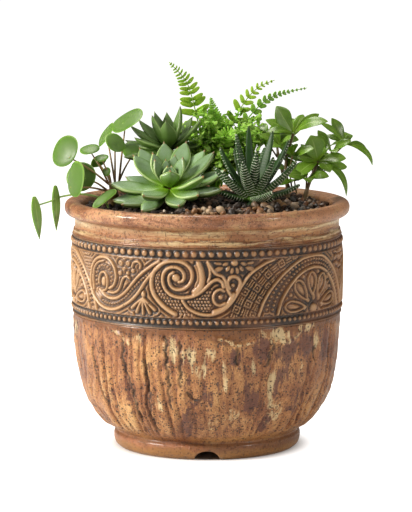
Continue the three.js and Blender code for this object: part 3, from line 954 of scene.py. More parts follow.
def leaf_shell(form: LeafForm, pose: LeafPose, tone: float) -> Shell:
    """Build one leaf as a closed mesh.

    Args:
        form: Its shape.
        pose: Its place.
        tone: A number from 0 to 1 that makes its colour its own.

    Returns:
        A shell with the values along, across, upper and tone, and pearl where the leaf has pearls.
    """
    forward, side, upper = pose.axes()
    size = (form.rows, form.sides)
    steps = np.arange(1, form.rows + 1) / (form.rows + 1)
    t = (0.35 * steps + 0.65 * (1 - np.cos(math.pi * steps)) / 2)[:, None]
    angle = even_angles(form.sides)[None, :]
    across, through = np.cos(angle), np.sin(angle)
    share = form.outline.share(t)
    if form.lobes:
        share = share * (1 + form.lobe_depth * (np.abs(np.sin(math.pi * form.lobes * t)) - 0.6))
    half = share * form.width / 2
    lift = form.bow * form.length * 4 * t * (1 - t) + form.curl * form.length * t**3
    slope = form.bow * 4 * (1 - 2 * t) + form.curl * 3 * t**2
    scale = 1 / np.sqrt(1 + slope**2)
    thickness = np.sqrt(np.clip(share, 0, 1)) * form.thick / 2
    rise = thickness * through * np.where(through < 0, 1 + form.keel * (1 - np.abs(across)), 1.0)
    rise = rise + form.cup * form.width * share * across**2 + form.fold * half * np.abs(across)
    if form.wave:
        ripple = np.sin(FULL_TURN * form.waves * t + 1.7 * np.sign(across))
        rise = rise + form.wave * share * np.abs(across) ** 3 * ripple
    values = {
        "along": (np.broadcast_to(t, size), 0.0, 1.0),
        "across": (np.broadcast_to(across, size), 0.0, 0.0),
        "upper": (np.broadcast_to(smooth_step(through, -0.15, 0.25), size), 0.5, 0.5),
        "tone": (np.full(size, tone), tone, tone),
    }
    if form.pearls:
        pearl = pearl_bands(t * form.length, across * half, through, tone)
        rise = rise + 0.45 * pearl * np.sign(through)
        values["pearl"] = (pearl, 0.0, 0.0)
    swing = form.twist * t
    sideways = half * across
    out = sideways * np.cos(swing) - rise * np.sin(swing)
    up = sideways * np.sin(swing) + rise * np.cos(swing)
    along = form.length * t - up * slope * scale
    above = lift + up * scale
    base = np.array(pose.base, float)
    rings = base + along[..., None] * forward + out[..., None] * side + above[..., None] * upper
    tip_lift = form.curl * form.length + form.mucro * (form.curl * 3 - form.bow * 4)
    tip = base + forward * (form.length + form.mucro) + upper * tip_lift
    return tube_shell(rings, base, tip, values)


def pearl_bands(along: Array, across: Array, through: Array, tone: float) -> Array:
    """Give the white raised bands on the outer side of a haworthia leaf.

    Args:
        along: Distances from the base.
        across: Distances from the middle line.
        through: The section's height, below zero on the outer side.
        tone: The leaf's own number, which shifts its bands.

    Returns:
        A mask from 0 to 1, highest in the middle of each pearl.
    """
    row_pitch, bead_pitch = 2.25, 1.6
    wander = 0.16 * np.sin(across * 0.9 + tone * 9) + 0.14 * np.sin(along * 0.45 + across * 1.6)
    row = np.cos(FULL_TURN * (along + wander) / row_pitch)
    index = np.round((along + wander) / row_pitch)
    bead = np.cos(FULL_TURN * (across / bead_pitch + 0.37 * index + tone))
    joined = smooth_step(along, 48.0, 26.0)
    ridge = smooth_step(row, 0.70, 0.97) * np.maximum(0.66 * joined, smooth_step(bead, -0.5, 0.3))
    inner = 0.80 if tone > 0.55 else 0.30
    return ridge * (inner + (1 - inner) * smooth_step(-through, -0.1, 0.2)) * smooth_step(along, 1.0, 5.0)


def stem_shell(points: Sequence[Point], start: float, end: float, tone: float = 0.5, sides: int = 10,
               knots: float = 0.0, rows: int = 26) -> Shell:
    """Build a round stem along a smooth line.

    Args:
        points: The points that the stem passes through.
        start: Its radius at the first point.
        end: Its radius at the last point.
        tone: A number from 0 to 1 for its colour.
        sides: How many sides its section has.
        knots: How much it swells at its leaf scars, as a share of its radius.
        rows: How many rings it has.

    Returns:
        A closed shell with the values of a leaf, so that either finish can dress it.
    """
    line = smooth_line(points, rows)
    tangent = unit(np.gradient(line, axis=0))
    across = np.zeros_like(line)
    guide = np.array([0.0, 0.0, 1.0]) if abs(tangent[0][2]) < 0.9 else np.array([1.0, 0.0, 0.0])
    for i, direction in enumerate(tangent):
        guide = unit(guide - direction * np.dot(guide, direction))
        across[i] = guide
    other = np.cross(tangent, across)
    t = np.linspace(0, 1, rows)
    scars = 5
    radius = start + (end - start) * t
    radius = radius * (1 + knots * np.maximum(0, np.cos(FULL_TURN * t * scars)) ** 6)
    angle = even_angles(sides)[None, :, None]
    section = np.cos(angle) * across[:, None] + np.sin(angle) * other[:, None]
    rings = line[:, None] + radius[:, None, None] * section
    flat = np.full((rows, sides), tone)
    values = {
        "along": (np.broadcast_to(t[:, None], (rows, sides)), 0.0, 1.0),
        "across": (flat * 0, 0.0, 0.0),
        "upper": (flat * 0, 0.0, 0.0),
        "tone": (flat, tone, tone),
    }
    return tube_shell(rings, line[0], line[-1], values)


# ================================================================ the pot


@dataclass
class ReliefPanel:
    """A height map of the carved band, unrolled: distance round the pot, and height above the ground."""

    around: Array
    height: Array
    period: float
    fullness: float = 1.14
    echo_reach: float = 9.0
    echo_pitch: float = 2.9
    fret_cell: float = 7.4
    ridge: Array = field(init=False)
    groove: Array = field(init=False)
    apart: Array = field(init=False)

    def __post_init__(self) -> None:
        """Start with a flat panel."""
        self.ridge = np.zeros_like(self.around)
        self.groove = np.zeros_like(self.around)
        self.apart = np.full_like(self.around, FAR)

    def _copies(self, left: float, right: float) -> list[float]:
        """Give the whole periods to shift a motif by, so that all of it lies on the panel.

        Args:
            left: The motif's left end.
            right: Its right end.

        Returns:
            The shifts.
        """
        low, high = self.around.min(), self.around.max()
        shifts = (-self.period, 0.0, self.period)
        return [shift for shift in shifts if right + shift > low and left + shift < high]

    def stroke(self, points: Line, half: float, rise: float, end_half: float | None = None) -> None:
        """Carve a raised line with a groove on each side.

        Args:
            points: The points that the line passes through.
            half: Half its width at the start.
            rise: Its height above the ground of the panel.
            end_half: Half its width at the end, if it tapers.
        """
        end_half = half if end_half is None else end_half
        half, end_half = self.fullness * half, self.fullness * end_half
        line = smooth_line(points, max(8, len(points) * 5))
        margin = max(half, end_half) + self.echo_reach
        for shift in self._copies(line[:, 0].min() - margin, line[:, 0].max() + margin):
            moved = line + [shift, 0]
            left, bottom = moved.min(axis=0) - margin
            right, top = moved.max(axis=0) + margin
            near = (self.around > left) & (self.around < right)
            near &= (self.height > bottom) & (self.height < top)
            if not near.any():
                continue
            place = np.stack([self.around[near], self.height[near]], axis=-1)
            best = np.full(len(place), FAR)
            width = np.full(len(place), half)
            for i in range(len(moved) - 1):
                step = moved[i + 1] - moved[i]
                s = np.clip(((place - moved[i]) @ step) / max(step @ step, 1e-9), 0, 1)
                gap = np.linalg.norm(place - moved[i] - s[:, None] * step, axis=1)
                closer = gap < best
                best = np.where(closer, gap, best)
                width = np.where(closer, half + (end_half - half) * (i + s) / (len(moved) - 1), width)
            profile = np.cos(math.pi / 2 * np.minimum(best / width, 1)) ** 0.8
            self._lay(near, rise * profile, best - width, 0.55, 0.75)

    def _lay(self, near: Array, ridge: Array, gap: Array, groove_at: float, groove_half: float) -> None:
        """Raise the panel, and cut a groove beside what was raised.

        Args:
            near: Which points of the panel the rest speaks of.
            ridge: The height to raise each of them to.
            gap: How far each is from the motif's edge.
            groove_at: How far from the edge the groove's middle is, or 0 for no groove.
            groove_half: Half the groove's width.
        """
        self.ridge[near] = np.maximum(self.ridge[near], ridge)
        self.apart[near] = np.minimum(self.apart[near], gap)
        if groove_at:
            groove = np.exp(-(((gap - groove_at) / groove_half) ** 2))
            self.groove[near] = np.maximum(self.groove[near], groove)

    def oval(self, u: float, z: float, length: float, width: float, angle: float = 0.0, rise: float = 1.3,
             hollow: float = 0.0, outlined: bool = True) -> None:
        """Carve a raised oval, or a petal with a hollow middle.

        Args:
            u: Its middle, round the pot.
            z: Its middle, up the pot.
            length: Its length.
            width: Its width.
            angle: How far its length is turned up from the horizon, in degrees.
            rise: Its height.
            hollow: How deep its middle is sunk, as a share of its height.
            outlined: Whether a groove is cut round it.
        """
        reach = max(length, width) / 2 + self.echo_reach
        c, s = math.cos(math.radians(angle)), math.sin(math.radians(angle))
        for shift in self._copies(u - reach, u + reach):
            near = (np.abs(self.around - u - shift) < reach) & (np.abs(self.height - z) < reach)
            x, y = self.around[near] - u - shift, self.height[near] - z
            ratio = np.hypot((x * c + y * s) / (length / 2), (y * c - x * s) / (width / 2))
            dome = np.sqrt(np.clip(1 - ratio**2, 0, 1)) * (1 - hollow * np.exp(-((ratio / 0.55) ** 2)))
            gap = (ratio - 1) * min(length, width) / 2
            self._lay(near, rise * dome, gap, 0.5 if outlined else 0.0, 0.7)

    def petal(self, base: tuple[float, float], tip: tuple[float, float], half: float) -> None:
        """Carve a petal as a raised outline round a lower tongue.

        Args:
            base: Where it starts.
            tip: Where it ends.
            half: Half its width.
        """
        start, end = np.array(base, float), np.array(tip, float)
        along = end - start
        side = np.array([-along[1], along[0]]) / np.linalg.norm(along)
        left = [start, start + 0.35 * along + 0.75 * half * side, start + 0.72 * along + half * side,
                start + 0.93 * along + 0.55 * half * side, end]
        right = [2 * start + 2 * ((p - start) @ along) / (along @ along) * along - p for p in left]
        self.stroke(left, 0.85, 1.3)
        self.stroke(right, 0.85, 1.3)
        middle = start + 0.6 * along
        angle = math.degrees(math.atan2(along[1], along[0]))
        self.oval(*middle, 0.52 * float(np.linalg.norm(along)), 0.9 * half, angle, 0.85, outlined=False)

    def inside(self, outline: Line) -> Array:
        """Tell which points of the panel lie inside a closed outline.

        Args:
            outline: The outline's corners.

        Returns:
            True for each point that does.
        """
        corners = np.array(outline, float)
        result = np.zeros_like(self.around, bool)
        for shift in self._copies(corners[:, 0].min(), corners[:, 0].max()):
            within = np.zeros_like(result)
            for (u0, z0), (u1, z1) in zip(corners + [shift, 0], np.roll(corners, -1, axis=0) + [shift, 0]):
                crosses = (z0 > self.height) != (z1 > self.height)
                with np.errstate(divide="ignore", invalid="ignore"):
                    at = (u1 - u0) * (self.height - z0) / (z1 - z0) + u0
                within ^= crosses & (self.around < at)
            result |= within
        return result

    def scales(self, outline: Line, pitch: float = 2.7, rise: float = 0.95) -> None:
        """Fill an outline with staggered drop-shaped scales.

        Args:
            outline: The outline's corners.
            pitch: The distance from one scale to the next.
            rise: Their height.
        """
        row_height = pitch * 0.98
        row = np.round(self.height / row_height)
        x = np.mod(self.around + 0.5 * pitch * np.mod(row, 2), pitch) / pitch - 0.5
        y = self.height / row_height - row
        dome = np.sqrt(np.clip(1 - (x / 0.40) ** 2 - (y / 0.47) ** 2, 0, 1))
        clear = np.where(self.inside(outline) & (self.ridge < 0.05) & (self.groove < 0.5), 1.0, 0.0)
        self.ridge = np.maximum(self.ridge, clear * rise * dome)
        self.groove = np.maximum(self.groove, clear * 0.75 * (1 - dome))

    def beads(self, points: Line, pitch: float, size: float, rise: float = 1.0) -> None:
        """Lay a row of small round beads along a line.

        Args:
            points: The points that the line passes through.
            pitch: The distance from bead to bead.
            size: A bead's width.
            rise: A bead's height.
        """
        length = float(distances_along(smooth_line(points, 60))[-1])
        for u, z in smooth_line(points, max(2, int(round(length / pitch)) + 1)):
            self.oval(u, z, size, size, 0.0, rise)

    def fret(self, left: Line, right: Line) -> None:
        """Fill the ribbon between two lines with squares that hold a smaller square or bars, in turn.

        Args:
            left: The points that its left side passes through.
            right: The same for its right side.
        """
        samples = 90
        a, b = smooth_line(left, samples), smooth_line(right, samples)
        ribbon = self.inside([*map(tuple, a), *map(tuple, b[::-1])])
        place = np.stack([self.around[ribbon], self.height[ribbon]], axis=-1)
        middle = (a + b) / 2
        near = np.argmin(np.linalg.norm(place[:, None] - middle[None], axis=2), axis=1)
        way = unit(np.gradient(middle, axis=0))[near]
        offset = place - middle[near]
        s = (distances_along(middle)[near] + np.einsum("ij,ij->i", offset, way)) / self.fret_cell
        w = (offset[:, 0] * -way[:, 1] + offset[:, 1] * way[:, 0]) / self.fret_cell + 0.5
        odd = np.mod(np.floor(s) + np.floor(w), 2) > 0.5
        x, y = np.mod(s, 1) - 0.5, np.mod(w, 1) - 0.5
        square = np.maximum(np.abs(x), np.abs(y))
        rings = (square < 0.13) | ((square > 0.25) & (square < 0.41))
        bars = (np.mod(y * 3.6 + 0.3, 1) < 0.55) & (square < 0.45)
        pattern = np.where(odd, rings, bars).astype(float)
        clear = (self.ridge[ribbon] < 0.1) & (self.groove[ribbon] < 0.45)
        self.ridge[ribbon] = np.maximum(self.ridge[ribbon], np.where(clear, 0.95 * pattern, 0))
        self.groove[ribbon] = np.maximum(self.groove[ribbon], np.where(clear, 0.85 * (1 - pattern), 0))

    def echo(self, bottom: float, top: float) -> None:
        """Work the bare ground between two heights with fine lines that run beside the motifs.

        Args:
            bottom: The lower height.
            top: The upper height.
        """
        bare = (self.ridge < 0.04) & (self.groove < 0.35) & (self.height > bottom) & (self.height < top)
        wave = np.cos(FULL_TURN * (self.apart - 2.5) / self.echo_pitch)
        self.ridge = np.maximum(self.ridge, np.where(bare, 0.85 * np.clip(wave, 0, 1) ** 0.8, 0))
        self.groove = np.maximum(self.groove, np.where(bare, 0.9 * np.clip(-wave, 0, 1), 0))

    def surface(self) -> Array:
        """Give the panel's height: its ground, raised by the ridges and cut by the grooves."""
        cut = 0.8 * self.groove * (1 - np.clip(self.ridge / 0.9, 0, 1))
        return np.maximum(0.0, 0.75 + 1.25 * self.ridge - cut)


@dataclass
class BandOrnament:
    """The running ornament of the band: scrolls, a fret ribbon and half-rosette arches.

    Places are distances round the wall from the front, and heights above the ground.
    """

    panel: ReliefPanel
    bottom: float = 124.6
    top: float = 171.0

    def draw(self) -> Array:
        """Carve every motif.

        Returns:
            The panel's height.
        """
        self._great_scroll()
        self._small_scrolls()
        self._left_scroll()
        self._leaf_fan()
        self._half_flower(22.5, 169.6)
        self._half_flower(151.5, 170.2)
        self._arch(100.0, 57.0, 50.0)
        self._arch(-155.0, 50.0, 50.0)
        self._fills()
        self.panel.echo(self.bottom, self.top)
        return self.panel.surface()

    def _great_scroll(self) -> None:
        """Carve the large double spiral left of the middle, and the ridges that run to and from it."""
        panel = self.panel
        panel.oval(-25.4, 157.0, 6.6, 7.6, 60, 1.3)
        panel.stroke([
            (-27.5, 161.4), (-30.9, 158.6), (-31.2, 153.4), (-28.6, 149.1), (-24, 147.2), (-18.5, 148.5),
            (-13.8, 153), (-12, 159), (-13.8, 165), (-19, 169.2), (-26, 170.6), (-33, 169.8), (-39, 166.8),
            (-43.8, 162), (-46.2, 156), (-46.4, 149.5), (-44.6, 143.5), (-41, 138.5), (-36.5, 134),
            (-31.5, 130.3), (-26, 127.2)], 1.2, 1.5, 1.9)
        panel.stroke([
            (-23, 153.6), (-19.9, 154.6), (-18.6, 158), (-19.7, 162), (-23, 164.8), (-28, 165.6),
            (-33, 163.9), (-36.2, 159.5), (-36.6, 153.5), (-34.4, 147.5), (-29.5, 142.9), (-23, 141),
            (-16, 141.2), (-10, 142.8), (-4.5, 146.2), (0.5, 151), (4.5, 154.6), (8.8, 155.7), (12, 153.7),
            (13.4, 149.8)], 1.3, 1.5, 1.5)
        panel.stroke([
            (-9.5, 145.5), (-5.6, 150), (-4.2, 155), (-4.4, 160), (-5.6, 165), (-7, 169)], 3.0, 1.4, 2.2)
        panel.stroke([(-9.5, 150.5), (-7.4, 156), (-7.8, 162), (-9.6, 167)], 1.0, 1.0, 0.8)
        panel.stroke([(0.2, 169.6), (2.2, 164), (2.3, 158.6), (0.6, 154)], 1.1, 1.2)
        panel.stroke([
            (0.5, 170.6), (3.4, 165.6), (6, 161.4), (9.2, 159.6), (12.5, 158.2), (14.7, 155), (15.6, 151),
            (16.9, 147), (19.2, 143.4)], 1.2, 1.4, 1.5)

    def _small_scrolls(self) -> None:
        """Carve the two small spirals right of the middle, and the thick stem that carries them."""
        panel = self.panel
        panel.oval(11, 141.6, 4.2, 4.2)
        panel.stroke([
            (13.8, 146.4), (10, 147.8), (6, 145), (5, 140.4), (6.8, 136.4), (10.6, 134.8), (14.6, 136.4)],
            1.2, 1.4)
        panel.oval(21, 151, 3.4, 3.4)
        panel.stroke([
            (18.6, 148.4), (17, 151.6), (17.2, 155.2), (20, 157.9), (24, 157.6), (26.8, 154.6),
            (26.8, 150.4), (24.6, 146)], 1.2, 1.4, 1.8)
        panel.stroke([
            (-20, 138.4), (-16, 133.2), (-11, 129.8), (-5, 127.6), (2, 127), (9, 128.8), (15, 132.2),
            (20, 137), (23.4, 142), (26.6, 147.5), (30, 152.7), (33.8, 157.7), (38, 161.5), (43.8, 165.2),
            (50, 168.4), (57, 170.6)], 1.3, 1.5, 1.3)
        panel.stroke([(6, 129.4), (13, 131.8), (18.6, 137.4), (21.6, 143)], 2.0, 1.5, 2.4)

    def _left_scroll(self) -> None:
        """Carve the scroll at the left, with its pearl rings, and the long ridges that rise from it."""
        panel = self.panel
        panel.stroke([
            (-112, 140), (-113.4, 147), (-113, 153.5), (-111.2, 160), (-107.5, 165.3), (-101.5, 168.7),
            (-94, 169.6), (-88, 167.7), (-83.4, 163), (-81.2, 157.5), (-81.4, 152), (-84, 147),
            (-88.5, 144.4)], 1.4, 1.4, 1.2)
        panel.stroke([
            (-108.4, 142), (-109.6, 149), (-109.2, 155.5), (-106.8, 161), (-102.3, 164.8), (-96, 166.3)],
            1.0, 1.3, 0.7)
        panel.oval(-95.5, 149.6, 6.0, 8.4, 0, 1.2)
        panel.stroke([
            (-97.6, 141.6), (-92.6, 143), (-90.8, 148), (-91.4, 153.6), (-94.6, 157), (-98.8, 156.2),
            (-101.2, 152), (-101.6, 146.5)], 1.0, 1.3)
        panel.beads([
            (-105.2, 146), (-105, 156), (-101, 161.2), (-95.5, 162.4), (-89, 160.4), (-86.2, 155.5),
            (-86.6, 150.6)], 3.3, 2.2)
        panel.stroke([
            (-100, 142.6), (-94, 138.2), (-87.5, 136.4), (-81, 137), (-75.2, 139.8), (-69.5, 144.4),
            (-61, 154), (-55, 159.6), (-50, 163.4), (-45, 167), (-39.6, 170)], 1.2, 1.5, 1.2)
        panel.stroke([
            (-90, 141.2), (-83.5, 141.2), (-78.2, 144), (-75.6, 149), (-73.6, 153.6), (-70, 155.8),
            (-66.8, 154)], 1.0, 1.3)
        panel.oval(-68.6, 158.6, 3.6, 3.6)
        panel.stroke([
            (-111, 138.5), (-106, 134), (-100.5, 130), (-94, 127.8), (-87.5, 127.2), (-81, 128.2),
            (-74.5, 131), (-67.5, 135), (-61.5, 140), (-56.5, 146), (-52.5, 152), (-47.8, 157.8),
            (-43, 162.4), (-38.6, 166.4)], 1.4, 1.5, 1.2)
        panel.beads([
            (-97, 133.4), (-90, 131.9), (-84, 132.2), (-78, 134), (-71, 138.8), (-64, 146), (-57, 152.6),
            (-49, 159.4)], 2.9, 1.9)
        for u, z, size in ((-76, 166.2, 5.2), (-76.8, 158, 4.2), (-68.6, 166.4, 4.6), (-63.6, 160.6, 4.0)):
            panel.oval(u, z, size, size, 0, 1.15, 0.65)
        panel.stroke([(-64.6, 163.6), (-62.8, 167.6), (-59, 168.6), (-56.2, 166.2), (-57, 163.2)], 1.0, 1.2)

    def _leaf_fan(self) -> None:
        """Carve the small fan of leaves between the two large scrolls."""
        for tip_u, tip_z in ((-64.5, 130.6), (-60, 127.4), (-54, 126.4), (-48, 127.2), (-43.4, 130)):
            self.panel.stroke([
                (-53.8, 139.5), ((tip_u - 53.8) / 2 - 0.4, (tip_z + 139.5) / 2), (tip_u, tip_z)], 0.8, 1.25,
                1.4)
        self.panel.oval(-53.8, 142.2, 4.2, 6.0, 0, 1.2)

    def _half_flower(self, u: float, z: float) -> None:
        """Carve half a daisy that hangs from the panel's top edge, with a leaf on each side.

        Args:
            u: Its middle, round the wall.
            z: Its middle, up the wall.
        """
        panel = self.panel
        for offset, drop, angle in (
                (-7.6, 1.4, 20), (-5.6, 5.2, 55), (-2.2, 6.8, 82), (2.2, 6.8, 98), (5.6, 5.2, 125),
                (7.6, 1.4, 160)):
            panel.oval(u + offset, z - drop, 5.6, 3.1, angle, 1.15, 0.3)
        panel.oval(u, z - 0.6, 6.0, 5.2, 0, 1.35)
        for side in (-1, 1):
            panel.oval(u + side * 13.2, z - 5.4, 8.6, 4.0, -side * 20, 1.15, 0.45)
            panel.oval(u + side * 13.4, z - 0.8, 7.0, 2.6, side * 8, 1.0, 0.3)

    def _arch(self, centre: float, left_half: float, right_half: float) -> None:
        """Carve an arch with a pearl border round half a lotus.

        Args:
            centre: Its middle, round the wall.
            left_half: How far its outer line reaches to the left at the foot.
            right_half: The same to the right.
        """
        panel, foot = self.panel, 125.5
        inner = [
            (-0.99, 0), (-0.96, 0.10), (-0.90, 0.30), (-0.775, 0.51), (-0.62, 0.70), (-0.44, 0.86),
            (-0.23, 0.96), (0, 1)]
        outer = [
            (-1, 0), (-0.972, 0.09), (-0.937, 0.205), (-0.877, 0.345), (-0.79, 0.49), (-0.70, 0.61),
            (-0.614, 0.71), (-0.526, 0.79), (-0.438, 0.86), (-0.35, 0.92), (-0.24, 0.975), (-0.1, 1),
            (0, 1.005)]
        inner_half, inner_height, outer_height = 40.0, 35.4, 44.6
        for side, reach in ((-1, left_half), (1, right_half)):
            panel.stroke([
                (centre - side * x * inner_half, foot + y * inner_height) for x, y in inner], 1.3, 1.5)
            panel.stroke([(centre - side * x * reach, foot + y * outer_height) for x, y in outer], 1.3, 1.5)
            for share in (0.36, 0.70):
                half = inner_half + share * (reach - inner_half)
                height = inner_height + share * (outer_height - inner_height)
                panel.beads([
                    (centre - side * x * half, foot + (y + 0.015 * share) * height) for x, y in inner[1:]],
                    3.6, 2.3, 1.1)
        self._lotus(centre)

    def _lotus(self, centre: float) -> None:
        """Carve the half lotus inside an arch.

        Args:
            centre: The arch's middle, round the wall.
        """
        panel = self.panel
        petals = (
            ((-10, 129), (-32.5, 131), 4.4), ((-8, 134), (-21, 151), 5.0), ((-1.5, 138), (-2.5, 157), 4.9),
            ((5.5, 136), (14.5, 154), 5.2), ((9.5, 130), (32, 134.5), 4.6))
        for (base_u, base_z), (tip_u, tip_z), half in petals:
            panel.petal((centre + base_u, base_z), (centre + tip_u, tip_z), half)
        for u, z, length, width, angle in (
                (-7.5, 134.4, 5.2, 3.8, 130), (0, 136.4, 6.0, 3.8, 90), (7, 134.8, 5.2, 3.8, 50)):
            panel.oval(centre + u, z, length, width, angle, 1.25, 0.5)
        panel.oval(centre, 127.2, 9.4, 7.4, 0, 1.3)
        for u, z, size in (
                (-26.5, 140, 3.6), (-13, 154, 3.6), (5.8, 156.6, 3.4), (20, 150.4, 3.8), (24.6, 142.4, 3.4),
                (-11.5, 128.4, 4.4), (11.5, 128.8, 4.4)):
            panel.oval(centre + u, z, size, size, 0, 1.1)

    def _fills(self) -> None:
        """Fill the ground between the large lines with scales and the fret."""
        panel = self.panel
        panel.scales([
            (-45, 160), (-38, 163), (-37.5, 152), (-33, 144), (-24, 139.6), (-14, 139.6), (-19, 136),
            (-22, 126.5), (-27, 127.5), (-34, 133), (-41, 140)])
        panel.scales([
            (-19, 140), (-8, 141), (-1, 146), (4, 150), (5, 143), (3.5, 138), (7, 133), (4, 128.5),
            (-6, 129), (-14, 133.5)])
        panel.scales([(-127, 171), (-117, 171), (-112, 166), (-114, 158), (-118, 154), (-123, 160)])
        panel.scales([(-9, 126), (-15, 126), (-21, 127), (-20, 135), (-14, 130)])
        left = [(17, 125), (21, 134), (27, 143.5), (33, 152.5), (41, 160.6), (52, 167.4), (62, 171)]
        right = [(42, 125), (45, 133), (49.4, 142), (55, 150), (63, 158), (74, 165.6), (86, 171)]
        panel.fret(left, right)


@dataclass
class StonewarePot:
    """The thrown pot: its bowl and foot, its collar and rim, and the relief band that stands on its wall."""

    height: float = 208.5
    bowl_top: float = 115.0
    wall_sides: int = 720
    wall_rows: int = 118
    collar_rows: int = 52
    notch_half: float = 10.5
    notch_height: float = 8.0
    notch_count: int = 3
    band_bottom: float = 114.4
    band_top: float = 180.6
    band_ground: float = 112.55
    band_radius: float = 114.0
    band_back: float = 110.2
    band_sides: int = 1056
    band_rows: int = 90
    bead_rise: float = 2.3
    fold_depth: float = 4.8
    ledge_depth: float = 1.7
    crack_depth: float = 1.8
    fold_count: int = 66

    # The deepest folds, as (turn in degrees, half width in degrees).
    bold_folds: tuple = (
        (-17, 3.5), (-27, 2.5), (-37, 3), (-50, 4), (27, 3), (50, 3), (66, 5), (96, 7), (128, 5), (165, 8),
        (-152, 6), (-118, 8), (-86, 5))

    # The wall's section, as (radius, height): up the outside, over the rim and down the inside.
    lower_wall: tuple = (
        (74.7, 0.0), (77.6, 2.6), (78.9, 6.5), (79.1, 10.5), (78.3, 12.4), (76.9, 13.8), (77.6, 15.4),
        (80.6, 17.6), (84.8, 19.8), (88.6, 22.4), (93.6, 28), (99.2, 36), (104.4, 46), (107.8, 58),
        (110.2, 72), (111.9, 88), (112.5, 104), (112.7, 112.0), (112.9, 114.0))
    hidden_wall: tuple = ((111.3, 115.2), (111.3, 180.2))
    collar_seat: tuple = ((105.5, 180.2), (111.0, 180.2))
    collar_wall: tuple = (
        (113.2, 180.9), (113.1, 182.2), (112.1, 183.0), (112.5, 184.1), (112.3, 185.1), (111.3, 185.8),
        (111.2, 188), (111.2, 191), (112.0, 193.8), (114.2, 195.6), (117.2, 196.9), (119.3, 199.2),
        (120.0, 202.2), (119.7, 205), (118.2, 207.2), (115.6, 208.4), (112.3, 208.4), (108.8, 207.4),
        (106.2, 205.6), (105.1, 202.5))
    inner_wall: tuple = (
        (105, 180.2), (105, 150), (105, 120), (101.5, 75), (93, 44), (79, 26), (64, 17), (11, 17), (11, 7),
        (61, 7), (64.5, 3.0), (65.5, 0.2))

    # Soft ovals where a colour of the glaze gathers, as (turn in degrees, height, half width, half height,
    # strength).
    cream_patches: tuple = (
        (-14, 98, 6, 15, 1), (-8, 92, 8, 9, 1), (-3, 80, 8, 8, 0.9), (1, 93, 7, 8, 0.8),
        (7.5, 76, 3, 17, 1), (33, 107, 14, 8, 1), (46, 111, 14, 5, 1), (23, 109, 7, 6, 1),
        (29, 62, 4.5, 22, 1), (33, 42, 7, 12, 0.95), (-30, 104, 10, 5, 0.8), (-22, 50, 4, 14, 0.75),
        (-52, 60, 5, 14, 0.6), (-36, 52, 5, 10, 0.6), (54, 101, 6, 9, 0.9), (-18, 100, 4, 9, 0.6),
        (44, 72, 4, 13, 0.85), (12, 42, 7, 10, 0.8), (2, 34, 7, 8, 0.8), (20, 82, 3, 11, 0.8))
    plum_patches: tuple = (
        (24, 96, 8, 9, 1), (36, 92, 10, 10, 1), (48, 96, 11, 10, 1), (33, 72, 8, 11, 0.85),
        (19, 56, 7, 13, 0.9), (29, 32, 6, 8, 1), (-9.5, 34, 6, 11, 1), (-9, 70, 4, 7, 0.7),
        (60, 92, 8, 14, 0.8), (44, 48, 8, 10, 0.6), (0, 56, 9, 8, 0.65), (-40, 66, 6, 12, 0.55),
        (12, 92, 5, 6, 0.7), (-70, 80, 9, 14, 0.5))

    # Lines on the bowl, as (turn in degrees, height).
    cracks: tuple = (
        ((-37.8, 101), (-38.4, 86), (-36.6, 74), (-35.1, 62), (-34, 47), (-33, 36)),
        ((-27.3, 88), (-26.4, 71), (-26.1, 56), (-27, 38), (-25.5, 26)),
        ((-17.2, 108), (-17.1, 85), (-16.2, 73), (-16.8, 57), (-15.9, 48)),
        ((-11.4, 104), (-11, 84), (-11.7, 67)),
        ((28.9, 101), (27.4, 92), (26.1, 84)),
        ((53, 95), (52.3, 84)),
        ((12.6, 98), (12.4, 86)),
        ((-8.4, 62), (-6.5, 57), (-3.2, 55)),
        ((-58, 92), (-57, 74), (-54, 52), (-50, 34)),
        ((66, 88), (64, 62), (60, 40)))
    ledges: tuple = (
        ((-45, 111), (-41, 107.6), (-38, 104.5), (-34.2, 100)),
        ((3.4, 107.5), (7.5, 105.6), (11.2, 101.8), (15.5, 101.6), (19.5, 103.6), (24, 108)),
        ((31, 104), (35.5, 101), (39.5, 104.5), (43.5, 108.6)))

    # The band's rows of beads, as (height, bead radius, count), and its plain lips, as (height, half width,
    # rise, how far it is rubbed back).
    bead_rows: tuple = ((176.0, 3.0, 102), (120.2, 2.15, 134))
    lips: tuple = (
        (171.5, 0.8, 1.7, 0.60), (124.2, 0.8, 1.5, 0.45), (180.4, 1.0, 1.2, 0.45), (115.2, 0.9, 1.3, 0.50))

    # Where a surface starts and ends on the wall, as the two heights that it fades between.
    folds_start: tuple = (15.5, 26.0)
    folds_end: tuple = (113.8, 108.0)
    panel_start: tuple = (123.9, 124.9)
    panel_end: tuple = (171.6, 170.6)

    def build(self, groups: Groups, finish: GlazeFinish) -> None:
        """Make the pot's three meshes and dress them.

        Args:
            groups: The shared node groups.
            finish: The glaze.
        """
        glaze = finish.wall(groups)
        add_piece("pot_bowl", self._bowl(), glaze, ["pot"])
        add_piece("pot_collar", self._collar(), glaze, ["pot"])
        add_piece("pot_relief_band", self._band(), finish.band(groups), ["pot"])

